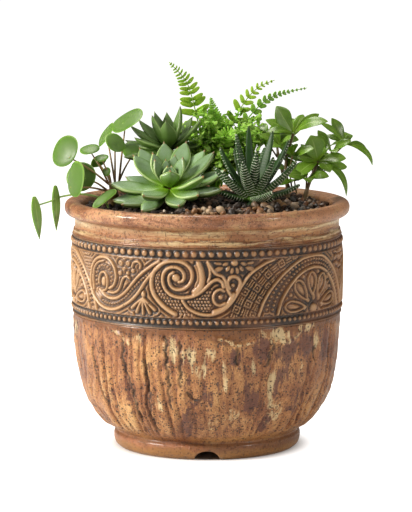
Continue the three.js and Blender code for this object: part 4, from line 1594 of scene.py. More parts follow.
    def _bowl(self) -> Shell:
        """Build the foot and the bowl, carved in folds below the band, and the wall behind the band.

        Returns:
            A closed shell with the values that the wall's finish reads.
        """
        outer = smooth_line(self.lower_wall, self.wall_rows)
        profile = np.vstack([outer, self.hidden_wall, self.inner_wall])
        turn, radius, height = self._grid(profile)
        outside = (np.arange(len(profile)) < self.wall_rows)[:, None]
        carved = outside * smooth_step(height, *self.folds_start) * smooth_step(height, *self.folds_end)
        fold, tone = self._folds(turn, height)
        ledge = self._lines(self.ledges, turn, height, 1.7)
        crack = self._lines(self.cracks, turn, height, 1.05) * carved
        carving = self.fold_depth * (fold - 0.76) + self.ledge_depth * ledge - self.crack_depth * crack
        depth = carved * carving
        slope = np.gradient(profile, axis=0)
        normal = unit(np.stack([slope[:, 1], -slope[:, 0]], axis=-1))
        radius = radius + depth * normal[:, :1]
        height = self._notched(turn, radius, height + depth * normal[:, 1:])
        values = {
            "fold": 0.70 + (fold - 0.70) * carved,
            "tone": 0.5 + (tone - 0.5) * carved,
            "crack": crack,
            "cream": np.maximum(self._patches(self.cream_patches, turn, height, 5), 1.1 * ledge),
            "plum": self._patches(self.plum_patches, turn, height, 6),
        }
        return loop_shell(self._rings(turn, radius, height), values)

    def _collar(self) -> Shell:
        """Build the glazed collar and the rolled rim, thrown a little unevenly.

        Returns:
            A closed shell with the values fold and tone.
        """
        profile = np.vstack([self.collar_seat, smooth_line(self.collar_wall, self.collar_rows)])
        turn, radius, height = self._grid(profile)
        wobble = TiledNoise(31, 18, 12)(turn, height / self.height) - 0.5
        radius = radius + 0.5 * wobble * (radius > 106)
        values = {"fold": np.full_like(radius, 0.70), "tone": np.full_like(radius, 0.5)}
        return loop_shell(self._rings(turn, radius, height), values)

    def _grid(self, profile: Array) -> tuple[Array, Array, Array]:
        """Spin a section round, and give the turn, radius and height of each point.

        Args:
            profile: Rows of (radius, height).

        Returns:
            Three arrays of shape (rows, sides).
        """
        radius = np.repeat(profile[:, :1], self.wall_sides, axis=1)
        height = np.repeat(profile[:, 1:], self.wall_sides, axis=1)
        return np.broadcast_to(np.arange(self.wall_sides) / self.wall_sides, radius.shape), radius, height

    def _rings(self, turn: Array, radius: Array, height: Array) -> Array:
        """Give the points at a turn, where 0 is the front, a radius and a height."""
        return rounded(radius, FULL_TURN * turn - math.pi / 2, height)

    def _folds(self, turn: Array, height: Array) -> tuple[Array, Array]:
        """Give the bowl's carved folds, which run from the band to the foot like drapery.

        Args:
            turn: Places round the pot, where 1 is a whole turn.
            height: Heights above the ground.

        Returns:
            The folds' height, from 0 in a crease to 1 on a crest, and a tone from 0 to 1 for each fold.
        """
        up = height / self.bowl_top
        starts = np.cumsum(np.random.default_rng(17).uniform(0.5, 1.7, self.fold_count))
        starts = np.concatenate([[0.0], starts]) / starts[-1]
        wander = 0.018 * (TiledNoise(5, 12, 3)(turn, up) - 0.5)
        wander = wander + 0.010 * (TiledNoise(6, 40, 5)(turn, up) - 0.5)
        moved = np.mod(turn + wander + 0.0022 * (TiledNoise(16, 170, 24)(turn, up) - 0.5), 1.0)
        index = np.clip(np.searchsorted(starts, moved, side="right") - 1, 0, self.fold_count - 1)
        share = np.clip((moved - starts[index]) / (starts[index + 1] - starts[index]), 0.0, 1.0)
        crest = np.sin(math.pi * share) ** 0.6
        middle = (index + 0.5) / self.fold_count
        bold = np.zeros_like(turn)
        for degrees, half in self.bold_folds:
            bold = np.maximum(bold, np.exp(-((self._degrees_from(turn, degrees) / half) ** 2)))
        uneven = 0.35 + TiledNoise(18, self.fold_count, 5)(middle, up)
        force = (0.22 + 0.50 * bold) * uneven * (1.45 - 0.85 * up)
        broad = TiledNoise(10, 34, 4)(moved, up)
        fine = 1 - np.abs(2 * TiledNoise(8, 230, 6)(moved, up) - 1)
        lumps = TiledNoise(11, 150, 26)(moved, up)
        fold = 1.05 - force * (1 - crest) - 0.40 * (1 - broad) - 0.06 * fine - 0.17 * lumps
        tone = TiledNoise(19, self.fold_count, 3)(middle, up)
        return np.clip(fold, 0, 1), 0.5 + (tone - 0.5) * smooth_step(crest, 0.25, 0.75)

    def _degrees_from(self, turn: Array, degrees: float) -> Array:
        """Give how far places round the pot are from one of them, the shorter way, in degrees."""
        return np.mod(turn * 360 - degrees + 180, 360) - 180

    def _lines(self, lines: Sequence[Line], turn: Array, height: Array, half: float) -> Array:
        """Give a mask near lines on the bowl, drawn at the front and again, turned, at the back.

        Args:
            lines: The lines, as points of (turn in degrees, height).
            turn: Places round the pot, where 1 is a whole turn.
            height: Heights above the ground.
            half: Half the width of a line.

        Returns:
            The mask, from 0 to 1 on a line.
        """
        mask = np.zeros_like(turn)
        degree = math.radians(108.0)
        samples, widest = 110, 14
        for index, points in enumerate(lines):
            path = smooth_line(points, samples)
            middle = path[:, 0].mean()
            line = path * [degree, 1]
            level = line[:, 1]
            line[:, 0] += 0.8 * np.sin(level * 0.55 + index) + 0.4 * np.sin(level * 1.7 + 2 * index)
            for back in (0.0, 168.0 + 7.0 * (index % 3)):
                degrees = self._degrees_from(turn, middle + back) + middle
                near = (np.abs(degrees - middle) < widest) & (height < 114)
                place = np.stack([degrees[near] * degree, height[near]], axis=-1)
                gap = np.min(np.linalg.norm(place[:, None] - line[None], axis=2), axis=1)
                breaks = 0.55 + 0.6 * TiledNoise(14, 90, 16)(turn[near], height[near] / self.bowl_top)
                drawn = np.minimum(1, breaks * smooth_step(gap, half * 1.7, half * 0.3))
                mask[near] = np.maximum(mask[near], drawn)
        return mask

    def _patches(self, patches: Sequence[tuple], turn: Array, height: Array, seed: int) -> Array:
        """Give a mask of soft ovals: the named ones at the front, and chance ones round the back.

        Args:
            patches: The ovals at the front.
            turn: Places round the pot, where 1 is a whole turn.
            height: Heights above the ground.
            seed: The seed of the ovals at the back.

        Returns:
            The mask, from 0 to 1 in the middle of a full oval.
        """
        rng = np.random.default_rng(seed)
        behind = [
            (degrees, rng.uniform(35, 108), rng.uniform(3, 11), rng.uniform(6, 16), rng.uniform(0.6, 1.0))
            for degrees in np.arange(80, 285, 11) + rng.uniform(-4, 4, 19)]
        mask = np.zeros_like(turn)
        degree = math.radians(110.0)
        for middle, level, half_round, half_up, strength in (*patches, *behind):
            across = degree * self._degrees_from(turn, middle)
            ratio = np.hypot(across / half_round, (height - level) / half_up)
            mask = np.maximum(mask, strength * smooth_step(ratio, 1.5, 0.35))
        return mask

    def _notched(self, turn: Array, radius: Array, height: Array) -> Array:
        """Raise the underside of the foot ring into an arch at each drain notch.

        Args:
            turn: Places round the pot, where 1 is a whole turn.
            radius: The points' radii.
            height: The points' heights.

        Returns:
            The new heights.
        """
        result = height
        for index in range(self.notch_count):
            away = np.mod(turn - index / self.notch_count + 0.5, 1.0) - 0.5
            across = radius * np.sin(FULL_TURN * away)
            arch = self.notch_height * np.sqrt(np.clip(1 - (across / self.notch_half) ** 2, 0, 1))
            open_here = (np.abs(away) < 0.1) & (radius > 60) & (height < self.notch_height)
            result = np.where(open_here, np.maximum(result, arch), result)
        return result

    def _band(self) -> Shell:
        """Build the band: two rows of beads on dark strips, and the carved panel between them.

        Returns:
            A closed shell with the value relief.
        """
        around = FULL_TURN * self.band_radius * np.arange(self.band_sides) / self.band_sides
        period = math.pi * self.band_radius
        height = np.linspace(self.band_bottom, self.band_top, self.band_rows)
        unrolled = np.mod(around[: self.band_sides // 2] + period / 2, period) - period / 2
        grid_u, grid_z = np.meshgrid(unrolled, height)
        relief = np.tile(BandOrnament(ReliefPanel(grid_u, grid_z, period)).draw(), (1, 2))
        full_z = np.repeat(height[:, None], self.band_sides, axis=1)
        radius, shade = self._strips(np.broadcast_to(around, relief.shape), full_z, relief)
        angle = np.broadcast_to(around / self.band_radius - math.pi / 2, radius.shape)
        outer, inner = rounded(radius, angle, full_z), rounded(self.band_back, angle[:2], full_z[[-1, 0]])
        values = {"relief": np.vstack([shade, np.zeros((2, self.band_sides))])}
        return loop_shell(np.vstack([outer, inner]), values)

    def _strips(self, around: Array, height: Array, relief: Array) -> tuple[Array, Array]:
        """Set the panel between the two bead rows.

        Args:
            around: Distances round the wall.
            height: Heights above the ground.
            relief: The carved panel's height.

        Returns:
            The wall's radius, and how far each point is rubbed back from the stain, from 0 to 1.
        """
        panel = smooth_step(height, *self.panel_start) * smooth_step(height, *self.panel_end)
        radius = self.band_ground + panel * relief
        shade = 0.06 + panel * (0.05 + 0.84 * relief / 2.6)
        for middle, size, count in self.bead_rows:
            pitch = FULL_TURN * self.band_radius / count
            x = np.mod(around, pitch) - pitch / 2
            dome = np.sqrt(np.clip(1 - (x**2 + (height - middle) ** 2) / size**2, 0, 1))
            radius = np.maximum(radius, self.band_ground + self.bead_rise * dome)
            shade = np.maximum(shade, 0.66 * smooth_step(dome, 0.30, 0.98))
        for middle, half_width, rise, pale in self.lips:
            lip = np.cos(math.pi / 2 * np.minimum(np.abs(height - middle) / half_width, 1))
            radius = np.maximum(radius, self.band_ground + rise * lip)
            shade = np.maximum(shade, pale * lip)
        return radius, shade


# ================================================================ soil and gravel


@dataclass
class PottingSoil:
    """The dark, crumbly soil, mounded towards the middle."""

    edge_height: float = 201.5
    crown_height: float = 209.0
    mound_power: float = 2.2
    mouth_radius: float = 104.4
    pot_radius: float = 105.0
    bottom: float = 17.4
    sides: int = 220
    rows_on_top: int = 44
    crumbs: int = 1500
    crumb_reach: float = 101.5

    # The soil's side, as (radius, height), a little inside the pot's wall.
    side: tuple = ((104.4, 120), (100.9, 75.4), (92.4, 44.8), (78.4, 26.8), (61.8, 17.4), (30, 17.4))

    finish: GritFinish = GritFinish("potting_soil", (
        (0.0, (0.005, 0.003, 0.002)), (0.45, (0.022, 0.012, 0.007)), (0.75, (0.070, 0.036, 0.019)),
        (0.92, (0.16, 0.088, 0.048)), (1.0, (0.62, 0.54, 0.44))), 500.0, 0.5, 0.88)

    def top(self, radius: Array | float) -> Array | float:
        """Give the soil's height at a radius."""
        mound = self.crown_height - self.edge_height
        return self.crown_height - mound * (radius / self.pot_radius) ** self.mound_power

    def build(self, groups: Groups) -> None:
        """Make the soil's body and its loose crumbs.

        Args:
            groups: The shared node groups.
        """
        material = self.finish.build(groups)
        add_piece("soil_bed", self._bed(), material, ["potting_soil"])
        add_piece("soil_crumbs", self._crumbs(), material, ["potting_soil"])

    def _bed(self) -> Shell:
        """Build the soil's body with an uneven top.

        Returns:
            A closed shell with the value tone.
        """
        size = (self.rows_on_top, self.sides)
        radius = self.mouth_radius * (np.arange(1, self.rows_on_top + 1) / self.rows_on_top)[:, None] ** 0.8
        angle = even_angles(self.sides)[None, :]
        turn = np.broadcast_to(angle / FULL_TURN, size)
        reach = np.broadcast_to(radius / self.pot_radius, size)
        rough = 2.4 * (TiledNoise(41, 40, 9)(turn, reach) - 0.5)
        rough = rough + 1.8 * (TiledNoise(42, 110, 24)(turn, reach) - 0.5)
        height = self.top(radius) + rough * smooth_step(radius, self.mouth_radius, 98)
        layers = [rounded(radius, angle, height)]
        layers += [rounded(wall, angle, np.full((1, self.sides), level)) for wall, level in self.side]
        tone = np.vstack([np.clip(0.38 + 0.25 * rough, 0, 1), np.full((len(self.side), self.sides), 0.4)])
        centre = np.array([0, 0, self.crown_height + rough[0].mean()])
        below = np.array([0, 0, self.bottom])
        return tube_shell(np.vstack(layers), centre, below, {"tone": (tone, 0.4, 0.4)})

    def _crumbs(self) -> Shell:
        """Scatter crumbs of bark, peat and a little perlite over the soil.

        Returns:
            The crumbs in one shell.
        """
        rng = np.random.default_rng(44)
        shells = []
        for _ in range(self.crumbs):
            radius = self.crumb_reach * math.sqrt(rng.random())
            angle = rng.uniform(0, FULL_TURN)
            size = rng.uniform(0.9, 2.5) if rng.random() < 0.85 else rng.uniform(2.4, 3.6)
            centre = (radius * math.cos(angle), radius * math.sin(angle), self.top(radius) + 0.35 * size)
            pale = rng.random() < 0.035
            tone = 0.97 if pale else rng.uniform(0.05, 0.9)
            shells.append(pebble_shell(centre, size, rng, tone, 1, 0.35))
        return merged(shells)


def icosphere(level: int) -> tuple[Array, Array]:
    """Give the points and triangles of a ball of radius one, from an icosahedron split level times.

    Args:
        level: How often to split it.

    Returns:
        The points, and rows of three point numbers.
    """
    g = (1 + math.sqrt(5)) / 2
    points = [
        (-1, g, 0), (1, g, 0), (-1, -g, 0), (1, -g, 0), (0, -1, g), (0, 1, g), (0, -1, -g), (0, 1, -g),
        (g, 0, -1), (g, 0, 1), (-g, 0, -1), (-g, 0, 1)]
    faces = [
        (0, 11, 5), (0, 5, 1), (0, 1, 7), (0, 7, 10), (0, 10, 11), (1, 5, 9), (5, 11, 4), (11, 10, 2),
        (10, 7, 6), (7, 1, 8), (3, 9, 4), (3, 4, 2), (3, 2, 6), (3, 6, 8), (3, 8, 9), (4, 9, 5), (2, 4, 11),
        (6, 2, 10), (8, 6, 7), (9, 8, 1)]
    ball = [unit(np.array(p, float)) for p in points]
    for _ in range(level):
        middles: dict[tuple[int, int], int] = {}
        split = []
        for a, b, c in faces:
            halves = []
            for i, j in ((a, b), (b, c), (c, a)):
                key = (min(i, j), max(i, j))
                if key not in middles:
                    middles[key] = len(ball)
                    ball.append(unit(ball[i] + ball[j]))
                halves.append(middles[key])
            ab, bc, ca = halves
            split += [(a, ab, ca), (b, bc, ab), (c, ca, bc), (ab, bc, ca)]
        faces = split
    return np.array(ball), np.array(faces)


BALLS = {level: icosphere(level) for level in (1, 2)}


def pebble_shell(centre: Point, size: float, rng: Rng, tone: float, level: int, rough: float) -> Shell:
    """Build one stone or crumb.

    Args:
        centre: Its middle.
        size: Its mean half size.
        rng: The source of its chance shape.
        tone: A number from 0 to 1 for its colour.
        level: How finely its surface is split.
        rough: How far it is from a smooth egg.

    Returns:
        A closed shell with the value tone.
    """
    points, faces = BALLS[level]
    cuts = 6
    for _ in range(cuts):
        normal = unit(rng.normal(size=3))
        reach = rng.uniform(0.55, 0.95)
        over = np.maximum(0, points @ normal - reach)
        points = points - rough * 2.0 * over[:, None] * normal
    spin, _ = np.linalg.qr(rng.normal(size=(3, 3)))
    points = (points * rng.uniform((1.0, 0.8, 0.6), (1.3, 1.0, 0.85))) @ spin.T * size
    triangles = np.concatenate([faces, np.full((len(faces), 1), -1)], axis=1)
    return Shell(points + np.array(centre), triangles, {"tone": np.full(len(points), tone)}).outward()


@dataclass
class GravelDressing:
    """Tan, rust, grey and cream pebbles over the soil at the front and right."""

    first_turn: float = -106.0
    last_turn: float = -10.0
    inner_radius: float = 72.0
    outer_radius: float = 101.0
    wall_radius: float = 104.0
    pebbles: int = 175
    tries: int = 12
    lower_share: float = 0.7
    upper_layer: float = 2.6

    finish: GritFinish = GritFinish("gravel", (
        (0.0, (0.010, 0.006, 0.004)), (0.34, (0.030, 0.018, 0.012)), (0.50, (0.10, 0.040, 0.014)),
        (0.66, (0.20, 0.088, 0.032)), (0.80, (0.31, 0.17, 0.076)), (0.88, (0.08, 0.066, 0.056)),
        (1.0, (0.50, 0.35, 0.21))), 420.0, 0.12, 0.50, 0.16)

    def build(self, groups: Groups, soil: PottingSoil) -> None:
        """Scatter the pebbles in two layers.

        Args:
            groups: The shared node groups.
            soil: What they lie on.
        """
        rng = np.random.default_rng(52)
        shells, placed = [], []
        for _ in range(self.pebbles * self.tries):
            if len(shells) >= self.pebbles:
                break
            turn = math.radians(rng.uniform(self.first_turn, self.last_turn))
            radius = rng.uniform(self.inner_radius, self.outer_radius)
            size = rng.uniform(2.0, 3.2) if rng.random() < 0.55 else rng.uniform(3.2, 4.9)
            layer = 0.0 if len(shells) < self.pebbles * self.lower_share else self.upper_layer
            z = soil.top(radius) + 0.5 * size + layer + 0.4
            centre = np.array([radius * math.cos(turn), radius * math.sin(turn), z])
            crowded = any(np.linalg.norm(centre - c) < 0.78 * (size + s) for c, s in placed)
            if radius + size > self.wall_radius or crowded:
                continue
            placed.append((centre, size))
            shells.append(pebble_shell(tuple(centre), size, rng, rng.random(), 2, 0.30))
        add_piece("gravel", merged(shells), self.finish.build(groups), ["gravel_dressing"])


# ================================================================ plants


@dataclass
class Rosette:
    """A plant whose leaves spread from one crown. A leaf is a row of (turn, rise, length, width)."""

    crown: Point
    face: Point
    girth: float

    def leaf(self, row: tuple, outline: Outline, thick: float, rng: Rng, **shape: float) -> Shell:
        """Build the leaf of a row.

        Args:
            row: The leaf's turn, rise, length from the crown's middle, and width.
            outline: Its outline.
            thick: Its thickness.
            rng: The source of its tone.
            shape: The rest of its LeafForm.

        Returns:
            The leaf, which starts on the crown's surface.
        """
        turn, rise, length, width = row
        base = tuple(np.array(self.crown) + heading(turn, rise) * self.girth)
        form = LeafForm(outline, length - self.girth, width, thick, **shape)
        return leaf_shell(form, LeafPose(base, turn, rise, self.face), float(rng.random()))


@dataclass
class Echeveria(Rosette):
    """The large pale rosette at the front left."""

    crown: Point = (-31.0, -41.0, 221.0)
    face: Point = (0.0, -0.375, 0.927)
    girth: float = 4.0

    # The open leaves, the inner ones first; then the small upright leaves round the heart, and its buds.
    leaves: tuple = (
        (57, 56, 45, 17), (101, 54, 45, 17), (28, 42, 45, 16), (146, 35, 45, 17), (132, 38, 49, 18),
        (6, 38, 48, 16), (80, 40, 47, 18), (-40, 19, 39, 15), (153, 11, 42, 16), (178, 5, 50, 18),
        (0, 17, 49, 16), (48, 33, 47, 18), (112, 33, 48, 18), (-119, -2, 44, 16), (-55, -3, 42, 16),
        (-18, 0, 46, 16), (-170, -12, 49, 16), (-148, -14, 47, 16), (-79, -12, 45, 17), (-124, -20, 43, 15))
    heart: tuple = (
        (-87, 52, 21, 17), (165, 63, 33, 14), (-163, 61, 28, 12), (-11, 66, 29, 13), (60, 72, 29, 13),
        (120, 74, 25, 11), (-60, 80, 20, 10), (-120, 78, 20, 10))
    buds: tuple = ((20, 78, 15, 7), (150, 76, 14, 7), (-90, 84, 12, 6))

    finish: LeafFinish = LeafFinish(
        "echeveria_skin", deep=(0.140, 0.280, 0.014), fresh=(0.098, 0.205, 0.011),
        bloom=(0.232, 0.342, 0.205), margin=(0.50, 0.62, 0.30), tip=(0.36, 0.17, 0.08), bloom_share=0.86,
        margin_share=0.72, tip_share=0.80, mottle_scale=75.0, roughness=0.31, glow=0.14, glow_reach=2.0)

    def build(self, groups: Groups) -> None:
        """Make the stem, the heart and each leaf.

        Args:
            groups: The shared node groups.
        """
        material = self.finish.build(groups)
        x, y, z = self.crown
        stem = stem_shell([(x, y + 6, 196), (x, y + 4, 210), (x, y, z)], 5.0, 4.4)
        add_piece("echeveria_stem", stem, material, ["echeveria_stem"])
        rng = np.random.default_rng(61)
        inner = [self._plump_leaf(row, 5.0, -0.10, rng) for row in (*self.heart, *self.buds)]
        add_piece("echeveria_heart", merged(inner), material, ["echeveria_heart"])
        for number, row in enumerate(self.leaves, 1):
            name = f"echeveria_leaf_{number:02d}"
            add_piece(name, self._plump_leaf(row, 6.0, -0.07, rng), material, [name])

    def _plump_leaf(self, row: tuple, thick: float, bow: float, rng: Rng) -> Shell:
        """Build one spoon-shaped leaf, a little curled and twisted by chance.

        Args:
            row: The leaf's turn, rise, length and width.
            thick: Its thickness.
            bow: How far it bows, as a share of its length.
            rng: The source of chance.

        Returns:
            The leaf.
        """
        return self.leaf(
            row, Outline.SPOON, thick, rng, bow=bow, cup=0.13, keel=0.25, curl=rng.uniform(0.0, 0.05),
            twist=rng.uniform(-0.12, 0.12), mucro=1.2, rows=26, sides=20)


@dataclass
class DarkRosette(Rosette):
    """The darker rosette of pointed leaves behind the echeveria."""

    crown: Point = (-31.0, 8.0, 249.0)
    face: Point = (-0.05, -0.15, 0.99)
    girth: float = 4.2
    leaves: tuple = (
        (173, 31, 39, 12), (152, 39, 39, 12), (-158, 20, 34, 12), (-146, 59, 35, 12), (143, 62, 36, 11),
        (101, 62, 35, 12), (-102, 58, 31, 14), (-14, 77, 38, 12), (-5, 45, 36, 12), (160, 10, 41, 14),
        (-168, -7, 40, 15), (40, 48, 36, 13), (72, 24, 37, 14), (115, 22, 38, 14), (22, 12, 36, 14),
        (10, 78, 26, 9), (180, 80, 24, 8))
    finish: LeafFinish = LeafFinish(
        "dark_rosette_skin", deep=(0.034, 0.085, 0.008), fresh=(0.080, 0.165, 0.020),
        bloom=(0.175, 0.275, 0.100), margin=(0.34, 0.46, 0.18), tip=(0.16, 0.12, 0.06), bloom_share=0.7,
        margin_share=0.55, tip_share=0.6, mottle_scale=140.0, roughness=0.42, glow=0.10, glow_reach=1.8)

    def build(self, groups: Groups) -> None:
        """Make the stem and its leaves as one piece.

        Args:
            groups: The shared node groups.
        """
        x, y, z = self.crown
        rng = np.random.default_rng(62)
        shells = [stem_shell([(x - 2, y + 4, 196), (x - 1, y + 2, 225), (x, y, z)], 4.2, 4.0, tone=0.3)]
        shells += [self._pointed_leaf(row, rng) for row in self.leaves]
        material = self.finish.build(groups)
        add_piece("dark_rosette", merged(shells), material, ["rear_rosette"])

    def _pointed_leaf(self, row: tuple, rng: Rng) -> Shell:
        """Build one keeled leaf with a sharp tip, a little twisted by chance.

        Args:
            row: The leaf's turn, rise, length and width.
            rng: The source of chance.

        Returns:
            The leaf.
        """
        return self.leaf(
            row, Outline.LANCE, 4.5, rng, bow=-0.06, cup=0.14, keel=0.45, twist=rng.uniform(-0.15, 0.15),
            mucro=0.8, rows=24, sides=18)


@dataclass
class Haworthia(Rosette):
    """The zebra-banded rosette at the front right."""

    crown: Point = (37.0, -48.0, 213.0)
    face: Point = (0.0, -0.10, 0.99)
    girth: float = 4.0
    fullness: float = 1.22
    leaves: tuple = (
        (-78, 70, 45, 11), (100, 76, 62, 9), (137, 72, 57, 10), (45, 66, 61, 11), (8, 58, 58, 10),
        (166, 58, 51, 9), (-13, 42, 50, 11), (-148, 42, 38, 10), (-62, 16, 36, 12), (8, 17, 42, 10))
    low_leaves: tuple = (
        (70, 52, 52, 10), (-170, 18, 34, 10), (-112, 58, 40, 12), (-42, 58, 44, 12), (-176, 42, 42, 10),
        (26, 34, 46, 11), (-38, 10, 24, 10), (120, 55, 50, 9))
    finish: LeafFinish = LeafFinish(
        "haworthia_skin", deep=(0.060, 0.130, 0.016), fresh=(0.014, 0.046, 0.009),
        bloom=(0.030, 0.080, 0.016), margin=(0.06, 0.13, 0.03), tip=(0.10, 0.09, 0.05), bloom_share=0.5,
        margin_share=0.3, tip_share=0.4, mottle_scale=180.0, roughness=0.46, glow=0.05, glow_reach=1.2,
        shine=0.28, pearl=(0.72, 0.78, 0.62))

    def build(self, groups: Groups) -> None:
        """Make the crown with its lowest leaves, and each upright leaf.

        Args:
            groups: The shared node groups.
        """
        material = self.finish.build(groups)
        rng = np.random.default_rng(63)
        x, y, z = self.crown
        crown = [stem_shell([(x, y, z - 14), (x, y, z - 6), (x, y, z + 3)], 5.0, 4.0, tone=0.4, rows=10)]
        crown += [self._banded_leaf(row, rng) for row in self.low_leaves]
        add_piece("haworthia_crown", merged(crown), material, ["haworthia_crown"])
        for number, row in enumerate(self.leaves, 1):
            name = f"haworthia_leaf_{number:02d}"
            add_piece(name, self._banded_leaf(row, rng), material, [name])

    def _banded_leaf(self, row: tuple, rng: Rng) -> Shell:
        """Build one leaf with raised bands.

        Args:
            row: The leaf's turn, rise, length and width.
            rng: The source of chance.

        Returns:
            The leaf.
        """
        turn, rise, length, width = row
        return self.leaf(
            (turn, rise, length, self.fullness * width), Outline.STRAP, 5.0, rng, bow=-0.05, cup=0.10,
            keel=0.5, twist=rng.uniform(-0.1, 0.1), rows=132, sides=34, pearls=True)


@dataclass(frozen=True)
class RoundLeaf:
    """One round leaf of the pilea.

    It has its middle, the way its upper face looks, its radius, its stalk's start, how far off the middle
    its stalk meets it, its width as a share of its length, and its turn in its own plane, in degrees.
    """

    centre: Point
    looks: Point
    radius: float
    foot: Point
    hub: float = 0.35
    narrow: float = 1.0
    spin: float = 0.0

    def upper(self) -> Array:
        """Give the unit vector that the upper face looks along."""
        return unit(np.array(self.looks, float))

    def joint(self) -> Array:
        """Give the point where the stalk meets the blade, off the middle towards the plant.

        Returns:
            The point.
        """
        inward = np.array(self.foot, float) - np.array(self.centre)
        inward = unit(inward - self.upper() * np.dot(inward, self.upper()))
        return np.array(self.centre) + inward * self.hub * self.radius


@dataclass
class Pilea:
    """The plant of round glossy leaves on long stalks, at the left."""

    crown: Point = (-79.0, -16.0, 214.0)
    leaves: tuple = (
        RoundLeaf((-119.2, -25, 252), (-0.62, -0.67, 0.40), 14.4, (-81, -17, 222), 0.72),
        RoundLeaf((-110, -42, 230), (-0.87, -0.46, 0.12), 15.5, (-82, -20, 217), 0.6),
        RoundLeaf((-105.5, -22, 230), (-0.25, -0.88, 0.33), 13.0, (-84, -16, 218)),
        RoundLeaf((-68, 2, 276), (-0.507, -0.37, 0.779), 15.5, (-74, -10, 222)),
        RoundLeaf((-86.5, 12, 262.5), (-0.826, -0.234, 0.512), 12.0, (-77, -10, 222)),
        RoundLeaf((-99, 4, 251), (-0.15, -0.42, 0.89), 8.6, (-82, -12, 222)),
        RoundLeaf((-76, -18, 258.5), (0.50, -0.62, 0.60), 9.8, (-77, -16, 224)),
        RoundLeaf((-85, -50, 215), (-0.3, -0.80, 0.52), 12.0, (-80, -24, 216), 0.35, 0.36, 44.0))
    young: tuple = (
        RoundLeaf((-88, -22, 246), (-0.2, -0.4, 0.9), 6.0, (-80, -20, 222)),
        RoundLeaf((-84, -22, 234), (-0.5, -0.8, 0.3), 4.0, (-80, -20, 222)),
        RoundLeaf((-61, 8, 249), (0.25, -0.72, 0.65), 10.5, (-75, -8, 222)),
        RoundLeaf((-92, 14, 240), (-0.5, 0.6, 0.6), 8.0, (-80, -8, 222)))
    half_thick: float = 0.55
    rings: int = 14
    sides: int = 44
    finish: LeafFinish = LeafFinish(
        "pilea_skin", deep=(0.40, 0.50, 0.22), fresh=(0.080, 0.195, 0.010), bloom=(0.130, 0.215, 0.064),
        margin=(0.24, 0.40, 0.07), bloom_share=0.75, margin_share=0.5, mottle_scale=42.0, roughness=0.42,
        glow=0.40, glow_reach=2.0, shine=0.30, grain_depth=0.03)
    stalk_finish: LeafFinish = LeafFinish(
        "pilea_stalk_skin", deep=(0.22, 0.10, 0.035), fresh=(0.27, 0.17, 0.050), tip=(0.25, 0.30, 0.09),
        tip_share=0.6, mottle_scale=90.0, roughness=0.40, glow=0.05)

    def build(self, groups: Groups) -> None:
        """Make the crown, and each leaf with its stalk.

        Args:
            groups: The shared node groups.
        """
        material, stalks = self.finish.build(groups), self.stalk_finish.build(groups)
        x, y, z = self.crown
        crown = stem_shell([(x, y, z - 14), (x + 1, y, z), (x, y, z + 9)], 5.0, 3.2, tone=0.3, knots=0.2)
        add_piece("pilea_crown", crown, stalks, ["pilea_crown"])
        for index, leaf in enumerate(self.leaves):
            name = f"pilea_leaf_{index + 1:02d}"
            add_piece(name, self._disc(leaf, 0.2 + 0.09 * index), material, [name])
            add_piece(f"pilea_stalk_{index + 1:02d}", self._stalk(leaf), stalks, [name])
        discs = [self._disc(leaf) for leaf in self.young]
        stems = [self._stalk(leaf) for leaf in self.young]
        add_piece("pilea_young_leaves", merged(discs), material)
        add_piece("pilea_young_stalks", merged(stems), stalks)

    def _stalk(self, leaf: RoundLeaf) -> Shell:
        """Build a leaf's stalk, which bends into the blade from behind.

        Args:
            leaf: The leaf.

        Returns:
            The stalk.
        """
        face, joint = leaf.upper(), leaf.joint()
        behind = joint - 4.0 * face
        middle = (np.array(leaf.foot) + behind) / 2 + [0, 0, 1.5]
        path = (leaf.foot, tuple(middle), tuple(behind), tuple(joint - 0.3 * face))
        return stem_shell(path, 0.98, 0.56, tone=0.55, sides=8, rows=30)

    def _disc(self, leaf: RoundLeaf, tone: float = 0.9) -> Shell:
        """Build a round blade with a dimple over its stalk and faint ribs that spread from it.

        Args:
            leaf: The leaf.
            tone: A number from 0 to 1 for its colour, which also shifts the waves of its edge.

        Returns:
            A closed shell with the values of a leaf.
        """
        face, joint = leaf.upper(), leaf.joint()
        up = unit(np.array([0, 0, 1.0]) - face * face[2])
        side = np.cross(up, face)
        share = (np.arange(1, self.rings + 1) / self.rings)[:, None]
        angle = even_angles(self.sides)[None, :]
        offset = joint - np.array(leaf.centre)
        hub_x, hub_y = float(offset @ side) / leaf.radius, float(offset @ up) / leaf.radius
        c, s = math.cos(math.radians(leaf.spin)), math.sin(math.radians(leaf.spin))
        u, v = share * np.cos(angle), share * np.sin(angle) * 0.97 * leaf.narrow
        x = u * c - v * s + (1 - share) * hub_x
        y = u * s + v * c + (1 - share) * hub_y
        ribs = np.cos(angle * 7) * share * (1 - share) * 0.14
        dimple = np.exp(-((share / 0.16) ** 2))
        waves = np.sin(3 * angle + tone * 7) * share**2
        dome = leaf.radius * (0.03 * (waves - dimple) - 0.13 * (x**2 + y**2) - 0.035 * ribs)
        edge = self.half_thick * np.sqrt(np.clip(1 - share**6, 0, 1))
        blade = np.array(leaf.centre) + leaf.radius * (x[..., None] * side + y[..., None] * up)
        above, below = (blade + (dome + lift)[..., None] * face for lift in (edge, -edge))
        both = np.vstack([share, share[::-1]]) * np.ones((1, self.sides))
        along = np.clip(1 - np.exp(-((both / 0.10) ** 2)) * 0.9, 0, 0.93)
        values = {
            "along": (along, 0.1, 0.1),
            "across": (both, 0.0, 0.0),
            "upper": (np.repeat([1.0, 0.0], self.rings)[:, None] * np.ones((1, self.sides)), 1.0, 0.0),
            "tone": (np.full(both.shape, tone), tone, tone),
        }
        dip, half = dome[0].mean() * face, 0.5 * face
        return tube_shell(np.vstack([above, below[::-1]]), joint + dip + half, joint + dip - half, values)


